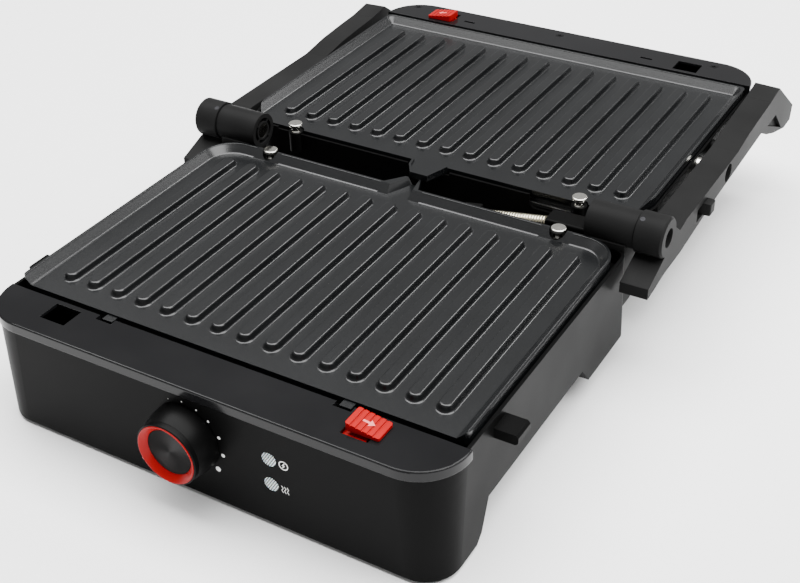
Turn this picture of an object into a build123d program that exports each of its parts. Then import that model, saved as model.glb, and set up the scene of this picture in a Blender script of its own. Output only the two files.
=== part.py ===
from build123d import *
import math
import os

# Contact grill opened flat. X runs to the right, Y to the back and Z up.
# The hinge axis lies along X at y = 0. The base is in front of it and the lid behind it.

# Heights of the base and the hinge
foot_height = 2.5
base_height = 72.7
hinge_above_base = 9.8
base_bottom = foot_height
base_top = base_bottom + base_height
hinge_z = base_top + hinge_above_base

# Grill plates
plate_width = 289.0
plate_depth = 191.2
plate_floor = 3.0
lower_plate_rear = -12.5
upper_plate_front = 18.1
hinge_corner_radius = 22.0
outer_corner_radius = 4.0
rim_height = 5.0
rim_top = 1.5
rim_bevel = 5.0
field_clearance = 20.0
skirt_drop = 6.0
skirt_wall = 2.5
skirt_inset = 4.0
lower_field_drop = 0.2
upper_field_drop = 3.3
lower_plate_front = lower_plate_rear - plate_depth
lower_field_z = base_top - lower_field_drop
upper_field_z = hinge_z - upper_field_drop

# Plan of the base housing, at its top and how far each wall leans
base_plate_margin = 3.0
strip_plate_gap = 4.0
strip_depth = 28.5
base_width = plate_width + 2 * base_plate_margin
strip_rear = lower_plate_front - strip_plate_gap
base_front = strip_rear - strip_depth
base_rear = -10.0
base_front_radius = 27.0
base_foot_radius = 20.0
base_rear_radius = 8.0
side_draft = 0.5
front_draft = 0.7
rear_flare = 9.0
base_wall = 2.0

# Raised underside between the legs
raised_height = 24.5
front_leg_depth = 50.2
front_leg_lean = 7.0
front_leg_toe = 5.0
rear_leg_front_y = -69.0
rear_leg_back_y = 60.0
rear_leg_drop = 13.3
rear_leg_width = 51.5
rear_leg_radius = 22.0
rear_leg_slope = 39.0
post_top_radius = 11.0
post_foot_radius = 9.5
front_leg_top_y = base_front + front_leg_depth
front_leg_foot_y = front_leg_top_y - front_leg_lean
rear_leg_inner_x = base_width / 2 - rear_leg_width
raised_z = base_bottom + raised_height
floor_z = raised_z + base_wall

# Control strip on the front of the base, and its twin on the lid
strip_height = 6.0
strip_wall = 2.0
strip_overhang = 1.4
lid_strip_overhang = 0.4
strip_edge_radius = 1.0
strip_z = base_top - strip_height
partition = 2.0

# Ribs of the plates
rib_count = 15
rib_side_margin = 22.0
rib_width = 9.6
rib_height = 4.0
rib_side_angle = 17.0
rib_edge_radius = 1.3
rib_rim_margin = 17.5
lower_rib_margin = 13.2
upper_rib_margin = 15.7
rib_pitch = (plate_width - 2 * rib_side_margin) / (rib_count - 1)
lower_rib_length = plate_depth - rib_rim_margin - lower_rib_margin
upper_rib_length = plate_depth - rib_rim_margin - upper_rib_margin

# Pouring tongues, where the two plates meet
tongue_tip_y = 0.9
lower_tongue_root = (-18.0, 8.0)
lower_tongue_tip = (-8.0, 3.0)
lower_channel_root = (-12.0, 3.5)
lower_channel_tip = (-2.5, -0.8)
lower_channel_slope = 25.0
upper_tongue_root = (-14.0, 12.5)
upper_tongue_bend = (-12.0, 10.0)
upper_tongue_tip = (-6.0, 6.4)
tongue_clearance = 2.0
tongue_lip = 1.4
tongue_lip_height = 1.2

# Notches in the plates and the studs that stand in them
notch_side_margin = 40.5
notch_radius = 5.5
stud_boss_radius = 4.9
stud_boss_height = 14.0
stud_stem_radius = 2.4
stud_stem_length = 6.0
stud_neck_radius = 3.4
stud_head_radius = 4.7
stud_head_height = 2.2
lower_stud_inset = 0.7
upper_stud_inset = 1.5
stud_top_clearance = 0.75
notch_x = plate_width / 2 - notch_side_margin
lower_stud_y = lower_plate_rear - lower_stud_inset
upper_stud_y = upper_plate_front - upper_stud_inset

# Ledge, heat tray and heater below each plate
ledge_width = 7.5
ledge_height = 4.0
tray_sheet = 0.8
tray_depth = 16.0
tray_margin = 1.2
tray_lip = 7.0
tray_corner_radius = 17.0
heater_radius = 3.3
heater_gap = 0.3
heater_bend_radius = 24.0
heater_inset_x = 42.0
heater_inset_y = 46.0
heater_leg_gap = 66.0
saddle_width = 10.0
saddle_sheet = 1.2

# Red plate release sliders
slider_length = 19.4
slider_depth = 14.0
slider_high = 5.0
slider_low = 2.0
slider_x = 97.3
slider_inset = 10.2
slider_travel = 5.0
slider_ribs = 5
slider_rib_depth = 0.5
slider_gap = 0.3
slider_stem = 7.0
slider_stem_depth = 6.0
catch_sheet = 1.6
catch_length = 16.0
catch_depth = 15.5
window_length = 16.0
window_depth = 14.0
window_shift_x = -3.0
window_shift_y = -2.6
relief_length = 17.7
relief_depth = 14.4
relief_x = 102.8
strip_notch_x = 77.4
strip_notch_width = 11.0
strip_notch_depth = 4.0
tab_width = 7.0
tab_thickness = 2.0
tab_reach = 5.0

# Lid housing and its domed cover
lid_plate_margin = 2.0
lid_width = plate_width + 2 * lid_plate_margin
lid_near = 15.0
lid_near_lean = 1.5
lid_strip_gap = 1.5
lid_screw_inset = 19.2
lid_strip_near = upper_plate_front + plate_depth + lid_strip_gap
lid_screw_y = lid_strip_near + lid_screw_inset
lid_screw_x = (-130.0, -7.0, 114.0)
lid_slot_x = (-79.5, 66.0)
lid_post_radius = 5.0
lid_post_depth = 20.0
lid_slot_length = 9.0
lid_slot_width = 2.4
lid_slot_offset = 8.8
near_wall_drop = 5.0
dome_steps = 5
upper_stud_rise = 2.2
upper_seat_drop = 4.0
lid_strip_depth = 27.7
lid_far = lid_strip_near + lid_strip_depth
lid_far_radius = 29.0
lid_near_radius = 22.0
lid_wall = 1.6
lid_strip_rise = 2.5
lid_split_drop = 36.0
lid_far_lean = 11.0
near_cut_drop = 14.5
near_step_left = -118.0
near_step_right = 72.0
near_step_radius = 5.0
dome_top_inset = 38.0
dome_wall = 2.2
pad_height = 2.5
pad_radius = 7.0
pad_x = 70.0
pad_near_y = 80.0
pad_far_y = 168.0

# Hinge barrels, shafts and hubs
barrel_radius = 11.7
barrel_length = 30.5
arm_clearance = 2.5
arm_width = 17.4
seam_gap = 0.5
arm_inner_x = base_width / 2 + arm_clearance
barrel_inner_x = arm_inner_x - seam_gap - barrel_length
shaft_radius = 5.0
running_clearance = 0.05
hub_radius = 12.75
hub_hole_radius = 6.0
hub_hole_depth = 7.0
bush_wall = 2.0
barrel_hollow_radius = 8.6
barrel_hollow_depth = 6.0
web_width = 22.0
web_foot_z = 34.0
hub_pin_radius = 1.6
hub_pin_length = 5.0

# Handle
handle_radius = 4.8
handle_offset = 8.5
handle_drop = 27.5
handle_seat = 12.0
handle_fit = 0.02
handle_y = lid_far + handle_offset

# Arms, seen from the side as distances from the hinge axis
grip_length = 55.0
crest_length = 36.0
tip_length = 10.0
facet_length = 15.4
pivot_length = 84.0
joint_y = handle_y - grip_length
grip_crest_y = handle_y - crest_length
grip_end_y = handle_y + tip_length
facet_end_y = handle_y - facet_length
pivot_y = joint_y - pivot_length
arm_bottom_drop = 23.5
arm_top_drop = 3.3
arm_slope = 0.6
arm_neck_drop = 17.8
arm_swell_drop = 14.2
arm_joint_rise = 2.8
arm_joint_drop = 21.4
grip_crest_rise = 5.5
grip_belly_drop = 29.0
grip_end_drop = 27.0
grip_foot_drop = 38.0
heel_front_y = -28.0
heel_top_drop = 18.0
heel_bottom_drop = 26.5
notch_y = 19.5
notch_drop = 5.2
facet_drop = 14.8
facet_end_drop = 33.9
facet_depth = 3.0
pivot_drop = 10.3
pivot_radius = 4.0
pivot_collar_radius = 6.0
pivot_hole_radius = 6.2
pivot_hole_depth = 6.0
spacer_offset = 28.0
spacer_y = pivot_y + spacer_offset
spacer_size = 11.0
peg_size = 8.0
peg_y = 65.0
peg_drop = 12.5
peg_proud = 5.0
peg_depth = 9.0
peg_travel = 10.0
peg_gap = 0.3

# Side lugs of the base
lug_reach = 13.5
lug_length = 14.0
lug_height = 6.0
lug_inset = 60.2
lug_y = base_front + lug_inset
lug_top_drop = 5.5

# Thermostat and knob
knob_x = -5.3
knob_z = 41.4
knob_front_radius = 19.0
knob_rear_radius = 20.9
knob_length = 17.7
knob_gap = 0.5
knob_cap_radius = 14.7
knob_cap_recess = 2.2
knob_ring_depth = 4.0
knob_ring_bevel = 0.8
knob_bore_depth = 12.0
knob_hollow_radius = 10.0
knob_hollow_depth = 4.0
pointer_angle = 208.0
pointer_radius = 1.2
thermostat_shaft_radius = 3.0
thermostat_neck_radius = 4.8
thermostat_size = 32.0
thermostat_depth = 14.0
wall_hole_clearance = 0.25
nut_thickness = 2.4
nut_width = 13.0

# Lamps beside the knob
lamp_x = 47.5
lamp_high_z = 47.4
lamp_low_z = 30.5
lamp_radius = 4.4
lamp_flange_radius = 6.0
lamp_flange = 1.4
lamp_proud = 0.4
board_width = 18.0
board_height = 38.0
board_thickness = 1.6
led_radius = 2.4

# Spring conduit between the base and the hinge
conduit_radius = 4.0
conduit_wire = 1.2
conduit_pitch = 2.0
conduit_curls = 20
block_length = 27.0
conduit_right_x = barrel_inner_x - block_length
conduit_drop = 12.0
conduit_y = 2.0
conduit_dip = 5.0
conduit_sweep = 8.0
conduit_depth = 1.0
conduit_clearance = 0.8
conduit_bend = 1.8
core_radius = 2.2
block_near_y = -7.0
block_far_y = 8.0
block_top_drop = 5.0
block_bottom_drop = 20.0
socket_length = 11.0
socket_reach = 9.0

# Bottom cover, feet, screws and other small pieces
cover_thickness = 2.0
cover_leg_gap = 8.0
cover_front_gap = 2.0
cover_rear_gap = 13.0
cover_screw_inset = 8.0
cover_half_width = rear_leg_inner_x - cover_leg_gap
cover_screw_x = cover_half_width - cover_screw_inset
cover_front = front_leg_top_y + cover_front_gap
cover_rear = rear_leg_front_y - cover_rear_gap
cover_overlap = 4.0
cover_radius = 8.0
vent_count = 7
vent_pitch = 12.0
vent_width = 4.0
vent_length = 44.0
cover_boss_radius = 3.6
cover_boss_height = 8.0
foot_radius = 9.0
foot_side_inset = 29.5
front_foot_inset = 19.2
rear_foot_inset = 22.0
foot_x = base_width / 2 - foot_side_inset
front_foot_y = base_front + front_foot_inset
rear_foot_y = base_rear - rear_foot_inset
screw_head_radius = 3.3
screw_shank_radius = 1.5
screw_head_height = 1.8
screw_length = 10.0
terminal_length = 40.0
terminal_depth = 14.0
terminal_clearance = 5.0
terminal_height = (lower_field_z - plate_floor - skirt_drop - tray_depth - floor_z
                   - terminal_clearance)
terminal_front = -58.0
terminal_count = 4
terminal_bore = 2.2
gland_radius = 7.0
gland_x = -60.0
gland_rise = 14.0
gland_bore = 3.2
gland_flange = 2.0

nodes = {}


def plan(half_width, front, rear, front_radius, rear_radius):
    """Rectangle seen from above with its own radius at the front and rear corners."""
    sheet = Pos(0, (front + rear) / 2) * Rectangle(2 * half_width, rear - front)
    sheet = fillet(sheet.vertices().sort_by(Axis.Y)[:2], front_radius)
    return fillet(sheet.vertices().sort_by(Axis.Y)[-2:], rear_radius)


def slab(sheet, low, high):
    """The flat outline raised from one height to another."""
    return extrude(Pos(0, 0, low) * sheet, high - low)


def block(x0, x1, y0, y1, z0, z1):
    """Box given by its limits."""
    centre = Pos((x0 + x1) / 2, (y0 + y1) / 2, (z0 + z1) / 2)
    return centre * Box(abs(x1 - x0), abs(y1 - y0), abs(z1 - z0))


def rod_x(x0, x1, y, z, radius):
    """Round bar along X."""
    return Pos((x0 + x1) / 2, y, z) * Rot(0, 90, 0) * Cylinder(radius, abs(x1 - x0))


def rod_y(y0, y1, x, z, radius):
    """Round bar along Y."""
    return Pos(x, (y0 + y1) / 2, z) * Rot(90, 0, 0) * Cylinder(radius, abs(y1 - y0))


def rod_z(z0, z1, x, y, radius):
    """Round bar along Z."""
    return Pos(x, y, (z0 + z1) / 2) * Cylinder(radius, abs(z1 - z0))


def side_profile(points, x0, x1):
    """Outline given as (y, z) pairs, carried from x0 to x1."""
    outline = Polyline(*[(x0, y, z) for y, z in points], close=True)
    return extrude(make_face(outline), x1 - x0, dir=(1, 0, 0))


def both_sides(shape):
    """A piece and its mirror image across the middle."""
    return [shape, mirror(shape, Plane.YZ)]


def base_plan(z, inset=0.0):
    """Outline of the base at height z, drawn in by inset."""
    share = (base_top - z) / base_height
    half = base_width / 2 - side_draft * share - inset
    front = base_front + front_draft * share + inset
    rear = base_rear + rear_flare * share - inset
    radius = base_front_radius - (base_front_radius - base_foot_radius) * share - inset
    return Pos(0, 0, z) * plan(half, front, rear, radius, base_rear_radius - inset)


def base_body(low, high, inset=0.0):
    """Drafted body of the base between two heights."""
    return loft([base_plan(low, inset), base_plan(high, inset)], ruled=True)


def front_face_y(z):
    """Where the leaning front face stands at height z."""
    return base_front + front_draft * (base_top - z) / base_height


def ribs(rim_y, field_z, length):
    """Round-ended ribs with sloping sides, side by side across a plate."""
    rib = extrude(Rot(0, 0, 90) * SlotOverall(length, rib_width), rib_height, taper=rib_side_angle)
    rib = fillet(rib.edges().group_by(Axis.Z)[-1], rib_edge_radius)
    made = []
    for number in range(rib_count):
        x = (number - (rib_count - 1) / 2) * rib_pitch
        made.append(Pos(x, rim_y - rib_rim_margin - length / 2, field_z) * rib)
    return made


def skirt_plan(front, rear, front_radius, rear_radius, inset):
    """Outline of a plate drawn in by inset, with corners that stay round."""
    return plan(plate_width / 2 - inset, front + inset, rear - inset,
                max(front_radius - inset, skirt_wall), max(rear_radius - inset, skirt_wall))


def skirt(front, rear, front_radius, rear_radius, field_z):
    """Locating wall under a plate."""
    outer = skirt_plan(front, rear, front_radius, rear_radius, skirt_inset)
    inner = skirt_plan(front, rear, front_radius, rear_radius, skirt_inset + skirt_wall)
    top = field_z - plate_floor
    return slab(outer - inner, top - skirt_drop, top)


def plate(front, field_z, front_radius, rear_radius, rib_length, tongue, notch_centre_y, tabs):
    """Grill plate with a bevelled rim on three sides, ribs and a pouring tongue."""
    rear = front + plate_depth
    outline = plan(plate_width / 2, front, rear, front_radius, rear_radius) + tongue
    body = slab(outline, field_z - plate_floor, field_z + rim_height)
    foot = rim_top + rim_bevel
    field = plan(plate_width / 2 - foot, front - field_clearance, rear - foot, 1.0,
                 max(rear_radius - foot, 1.0))
    slope = math.degrees(math.atan2(rim_bevel, rim_height))
    body -= extrude(Pos(0, 0, field_z) * field, rim_height + 1, taper=-slope)
    body += skirt(front, rear, front_radius, rear_radius, field_z)
    body += tabs
    for side in (-1, 1):
        body -= rod_z(field_z - plate_floor - skirt_drop, field_z + rim_height,
                      side * notch_x, notch_centre_y, notch_radius)
    return body + ribs(rear, field_z, rib_length)


def plate_tab(edge_y, reach, field_z):
    """Two flat tabs that the catch and the strip hold, at the outer edge of a plate."""
    low = field_z - plate_floor
    made = []
    for side in (-1, 1):
        x = side * strip_notch_x
        made.append(block(x - tab_width / 2, x + tab_width / 2, edge_y, edge_y + reach,
                          low, low + tab_thickness))
    return made


def tray(front, rear, flange_top):
    """Sheet tray that throws the heat back at the plate, with a flange all round."""
    half = plate_width / 2 - tray_margin
    outer = plan(half, front, rear, tray_corner_radius, tray_corner_radius)
    inner = plan(half - tray_lip, front + tray_lip, rear - tray_lip,
                 tray_corner_radius - tray_lip, tray_corner_radius - tray_lip)
    pocket = plan(half - tray_lip - tray_sheet, front + tray_lip + tray_sheet,
                  rear - tray_lip - tray_sheet, tray_corner_radius - tray_lip - tray_sheet,
                  tray_corner_radius - tray_lip - tray_sheet)
    body = slab(outer, flange_top - tray_sheet, flange_top)
    body += slab(inner, flange_top - tray_depth, flange_top)
    return body - slab(pocket, flange_top - tray_depth + tray_sheet, flange_top + 1)


def heater(front, rear, z, tray_floor):
    """Tubular heater bent to an M, held by saddles that stand on the tray."""
    right = plate_width / 2 - heater_inset_x
    near = rear - heater_inset_y
    far = front + heater_inset_y
    leg = heater_leg_gap / 2
    points = [(-right + heater_leg_gap, near), (-right, near), (-right, far), (-leg, far),
              (-leg, near - heater_bend_radius), (leg, near - heater_bend_radius), (leg, far),
              (right, far), (right, near), (right - heater_leg_gap, near)]
    path = FilletPolyline(*[(x, y, z) for x, y in points], radius=heater_bend_radius)
    start = Plane(origin=path @ 0, z_dir=path % 0)
    body = sweep(start * Circle(heater_radius), path=path)
    made = [body]
    for x in (-right, -leg, leg, right):
        y = (near + far) / 2
        foot = block(x - saddle_width / 2, x + saddle_width / 2, y - saddle_width / 2,
                     y + saddle_width / 2, tray_floor, tray_floor + saddle_sheet)
        post = block(x - saddle_width / 2, x + saddle_width / 2, y - saddle_sheet / 2,
                     y + saddle_sheet / 2, tray_floor, z)
        made.append(foot + post - rod_y(y - saddle_width, y + saddle_width, x, z, heater_radius))
    return made


def stud(x, y, seat_z, top_z):
    """Stud with a waisted neck and a round head."""
    body = rod_z(seat_z - stud_stem_length, seat_z, x, y, stud_stem_radius)
    head_z = top_z - stud_head_height
    body += Pos(x, y, (seat_z + head_z) / 2) * Cone(stud_neck_radius, stud_head_radius, head_z - seat_z)
    head = rod_z(head_z, top_z, x, y, stud_head_radius)
    head = fillet(head.edges().group_by(Axis.Z)[-1], 0.8)
    return body + head


def screw(x, y, head_z):
    """Countersunk screw with a cross recess, its head flush at head_z."""
    cone = Pos(x, y, head_z - screw_head_height / 2)
    body = cone * Cone(screw_shank_radius, screw_head_radius, screw_head_height)
    body += rod_z(head_z - screw_length, head_z - screw_head_height, x, y, screw_shank_radius)
    for angle in (0, 90):
        body -= Pos(x, y, head_z) * Rot(0, 0, angle) * Box(screw_head_radius, 0.8, 1.6)
    return body


def screw_hole(x, y, head_z):
    """Room for that screw."""
    cone = Pos(x, y, head_z - screw_head_height / 2)
    hole = cone * Cone(screw_shank_radius, screw_head_radius, screw_head_height)
    return hole + rod_z(head_z - screw_length, head_z, x, y, screw_shank_radius)


def lower_tongue():
    """Outline of the tongue at the back of the lower plate."""
    root = lower_plate_front + plate_depth - 1
    return make_face(Polyline((lower_tongue_root[0], root), (lower_tongue_tip[0], -tongue_tip_y),
                              (lower_tongue_tip[1], -tongue_tip_y), (lower_tongue_root[1], root),
                              close=True))


def tongue_channel():
    """Channel through the lower tongue, open at its tip, with leaning sides."""
    root = lower_plate_front + plate_depth - rim_top - rim_bevel - 1
    bottom = make_face(Polyline((lower_channel_root[0], root), (lower_channel_tip[0], tongue_tip_y),
                                (lower_channel_tip[1], tongue_tip_y), (lower_channel_root[1], root),
                                close=True))
    return extrude(Pos(0, 0, lower_field_z) * bottom, rim_height + 1, taper=-lower_channel_slope)


def upper_tongue():
    """Outline of the tongue at the near edge of the upper plate."""
    root = upper_plate_front + 1
    return make_face(Polyline((upper_tongue_root[0], root), upper_tongue_bend,
                              (upper_tongue_tip[0], tongue_tip_y), (upper_tongue_tip[1], tongue_tip_y),
                              (upper_tongue_root[1], root), close=True))


def lower_plate():
    """Plate of the base, its rim and tongue at the back."""
    tabs = plate_tab(lower_plate_front, -tab_reach, lower_field_z)
    body = plate(lower_plate_front, lower_field_z, outer_corner_radius, hinge_corner_radius,
                 lower_rib_length, lower_tongue(), lower_stud_y, tabs)
    return body - tongue_channel()


def upper_plate():
    """Plate of the lid, with its rim at the far edge and a low lip round its tongue."""
    far = upper_plate_front + plate_depth
    tabs = plate_tab(far, tab_reach, upper_field_z)
    body = plate(upper_plate_front, upper_field_z, hinge_corner_radius, outer_corner_radius,
                 upper_rib_length, upper_tongue(), upper_stud_y, tabs)
    lip = upper_tongue() - offset(upper_tongue(), -tongue_lip)
    lip -= Pos(0, upper_plate_front + 1) * Rectangle(60, 2 * tongue_lip)
    return body + slab(lip, upper_field_z, upper_field_z + tongue_lip_height)


def base_housing():
    """Tub of the base with its legs, ledge, lugs and holes."""
    body = base_body(raised_z, base_top)
    front_leg = side_profile([(base_front - 20, raised_z), (front_leg_top_y, raised_z),
                              (front_leg_foot_y, base_bottom + front_leg_toe),
                              (front_leg_foot_y - front_leg_toe, base_bottom),
                              (base_front - 20, base_bottom)], -base_width, base_width)
    rear_leg = Pos((rear_leg_inner_x + base_width) / 2, (rear_leg_front_y + rear_leg_back_y) / 2)
    rear_leg *= RectangleRounded(base_width - rear_leg_inner_x, rear_leg_back_y - rear_leg_front_y,
                                  rear_leg_radius)
    rear_leg = extrude(Pos(0, 0, raised_z) * rear_leg, rear_leg_drop, dir=(0, 0, -1), taper=rear_leg_slope)
    lower = base_body(base_bottom, raised_z)
    body += lower & front_leg
    for leg in both_sides(rear_leg):
        body += lower & leg
    post_top = raised_z - rear_leg_drop + 0.5
    post = Cone(post_foot_radius, post_top_radius, post_top - base_bottom)
    for side in (-1, 1):
        body += Pos(side * foot_x, rear_foot_y, (post_top + base_bottom) / 2) * post
    body -= base_body(floor_z, base_top, base_wall)
    front_room = base_body(base_bottom + base_wall, floor_z, base_wall)
    body -= front_room & block(-base_width, base_width, base_front, front_leg_foot_y - front_leg_toe
                               - base_wall, 0, base_top)
    body -= block(-base_width, base_width, base_front - 5, strip_rear, strip_z, base_top + 1)
    body += partition_wall()
    tray_top = lower_field_z - plate_floor - skirt_drop
    half = base_width / 2 - base_wall
    outer = plan(half + 1, strip_rear - 1, base_rear - base_wall + 1, 2, base_rear_radius)
    inner = plan(half - ledge_width, strip_rear + ledge_width, base_rear - base_wall - ledge_width,
                 tray_corner_radius - tray_lip, tray_corner_radius - tray_lip)
    body += slab(outer - inner, tray_top - tray_sheet - ledge_height, tray_top - tray_sheet)
    for side in (-1, 1):
        boss = rod_z(base_top - stud_boss_height, base_top, side * notch_x, lower_stud_y, stud_boss_radius)
        body += boss - rod_z(base_top - stud_stem_length, base_top, side * notch_x, lower_stud_y,
                             stud_stem_radius)
        body -= rod_z(base_top - stud_stem_length, base_top, side * notch_x, lower_stud_y,
                      stud_stem_radius)
    lug = block(base_width / 2 - base_wall, base_width / 2 + lug_reach, lug_y - lug_length / 2,
                lug_y + lug_length / 2, base_top - lug_top_drop - lug_height, base_top - lug_top_drop)
    lug = chamfer(lug.edges().filter_by(Axis.Y).group_by(Axis.X)[-1], 1.5)
    for piece in both_sides(lug):
        body += piece
    return body - base_holes() + cover_bosses()


def partition_wall():
    """Cross wall between the plate bay and the control room."""
    half = base_width / 2 - base_wall
    return block(-half, half, strip_rear - partition, strip_rear, floor_z - 1, strip_z)


def base_holes():
    """Holes for the knob shaft, lamps, tongue, bottom opening and cord gland."""
    inside = base_front + front_draft + base_wall + 3
    tongue_low = lower_field_z - plate_floor - 0.5
    cover_hole = plan(cover_half_width - cover_overlap, cover_front + cover_overlap,
                      cover_rear - cover_overlap, cover_radius, cover_radius)
    holes = [rod_y(base_front - 1, inside, knob_x, knob_z, thermostat_neck_radius + wall_hole_clearance),
             block(lower_tongue_root[0] - tongue_clearance, lower_tongue_root[1] + tongue_clearance,
                   base_rear - base_wall - 1, 5, tongue_low, base_top + 1),
             slab(cover_hole, raised_z - 1, floor_z + 1),
             rod_y(base_rear - 10, 10, gland_x, floor_z + gland_rise, gland_radius - gland_flange)]
    for z in (lamp_low_z, lamp_high_z):
        holes.append(rod_y(base_front - 1, inside, lamp_x, z, lamp_radius + wall_hole_clearance))
    for x, y in cover_screw_spots():
        holes.append(rod_z(raised_z - 1, floor_z + 1, x, y, screw_shank_radius))
    return holes


def cover_bosses():
    """Bosses on the floor that take the screws of the bottom cover."""
    made = []
    for x, y in cover_screw_spots():
        boss = rod_z(floor_z, floor_z + cover_boss_height, x, y, cover_boss_radius)
        made.append(boss - rod_z(floor_z, floor_z + cover_boss_height, x, y, screw_shank_radius))
    return made


def wedge_slider():
    """Release slider about its own centre, on a strip whose top is at z = 0, tall end at -X."""
    half = slider_length / 2
    side = [(-half, slider_gap), (half, slider_gap), (half, slider_low), (-half, slider_high)]
    outline = make_face(Polyline(*[(x, -slider_depth / 2, z) for x, z in side], close=True))
    body = extrude(outline, slider_depth, dir=(0, 1, 0))
    body = fillet(body.edges().filter_by(Axis.Z), 1.2)
    fall = (slider_high - slider_low) / slider_length
    for number in range(slider_ribs):
        x = (number - (slider_ribs - 1) / 2) * slider_length / (slider_ribs + 1)
        z = (slider_high + slider_low) / 2 - x * fall
        body -= Pos(x, 0, z) * Box(1.0, slider_depth + 2, 2 * slider_rib_depth)
    stem_x = stem_shift()
    low = -strip_wall - slider_gap
    body += block(stem_x - slider_stem / 2, stem_x + slider_stem / 2, -slider_stem_depth / 2,
                  slider_stem_depth / 2, low, slider_gap)
    return body + block(stem_x - catch_length / 2, stem_x + catch_length / 2, -catch_depth / 2,
                        catch_depth / 2, low - catch_sheet, low)


def stem_shift():
    """Where the stem stands under the slider, so that it can travel in its window."""
    return window_shift_x - slider_travel / 2


def strip_holes(rear, top):
    """Window of the slider and relief for the slider of the other half."""
    y = rear - slider_inset
    window = block(-window_length / 2, window_length / 2, -window_depth / 2, window_depth / 2,
                   top - strip_wall - 1, top + 1)
    relief = block(-relief_length / 2, relief_length / 2, -relief_depth / 2, relief_depth / 2,
                   top - strip_wall - 1, top + 1)
    return [Pos(slider_x + window_shift_x, y + window_shift_y, 0) * window, Pos(-relief_x, y, 0) * relief]


def base_strip():
    """Glossy control strip, a shallow cap over the front of the base."""
    room = block(-base_width, base_width, base_front - 5, strip_rear, strip_z, base_top)
    body = extrude(base_plan(base_top, -strip_overhang), -strip_height) & room
    top_edges = body.edges().group_by(Axis.Z)[-1].sort_by(Axis.Y)[:-1]
    body = fillet(top_edges, strip_edge_radius)
    pocket = extrude(base_plan(base_top - strip_wall, base_wall), -strip_height)
    body -= pocket & block(-base_width, base_width, base_front, strip_rear - strip_wall, 0, base_top)
    for x in (-strip_notch_x, strip_notch_x):
        body -= block(x - strip_notch_width / 2, x + strip_notch_width / 2,
                      strip_rear - strip_notch_depth, strip_rear + 1, strip_z - 1, base_top + 1)
    return body - strip_holes(strip_rear, base_top)


def slider_place(rear, top):
    """Place of the slider on a strip with that rear edge."""
    return Pos(slider_x, rear - slider_inset, top)


def feet():
    """Rubber feet under the four corners of the base."""
    made = []
    for side in (-1, 1):
        for y in (front_foot_y, rear_foot_y):
            pad = rod_z(0, foot_height, side * foot_x, y, foot_radius)
            made.append(fillet(pad.edges().group_by(Axis.Z)[0], 0.8))
    return Compound(made)


def bottom_cover():
    """Vented cover under the raised floor."""
    sheet = plan(cover_half_width, cover_front, cover_rear, cover_radius, cover_radius)
    middle = (cover_front + cover_rear) / 2
    for number in range(vent_count):
        x = (number - (vent_count - 1) / 2) * vent_pitch
        sheet -= Pos(x, middle) * Rot(0, 0, 90) * SlotOverall(vent_length, vent_width)
    body = slab(sheet, raised_z - cover_thickness, raised_z)
    for x, y in cover_screw_spots():
        body -= Pos(x, y, raised_z - cover_thickness) * Rot(180, 0, 0) * screw_hole(0, 0, 0)
    return body


def cover_screw_spots():
    """Where the screws of the bottom cover are."""
    return [(x, y) for x in (-cover_screw_x, cover_screw_x)
            for y in (cover_front + cover_overlap / 2, cover_rear - cover_overlap / 2)]


def cover_screws():
    """Screws of the bottom cover, heads downwards."""
    spots = cover_screw_spots()
    return Compound([Pos(x, y, raised_z - cover_thickness) * Rot(180, 0, 0) * screw(0, 0, 0)
                     for x, y in spots])


def lid_section(drop, inset):
    """Outline of the lid at a depth below the hinge axis."""
    half = lid_width / 2 - inset
    share = min(max((drop - lid_wall_drop_top()) / (lid_split_drop - lid_wall_drop_top()), 0), 1)
    far = lid_far - lid_far_lean * share - inset
    near = lid_near + lid_near_lean * share + inset
    return Pos(0, 0, hinge_z - drop) * plan(half, near, far, lid_near_radius, lid_far_radius)


def lid_wall_drop_top():
    """Depth of the top of the lid walls below the hinge axis."""
    return strip_height - lid_strip_rise


def lid_shell(inset, low_drop, high_drop):
    """Drafted body of the lid frame between two depths."""
    return loft([lid_section(low_drop, inset), lid_section(high_drop, inset)], ruled=True)


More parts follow.
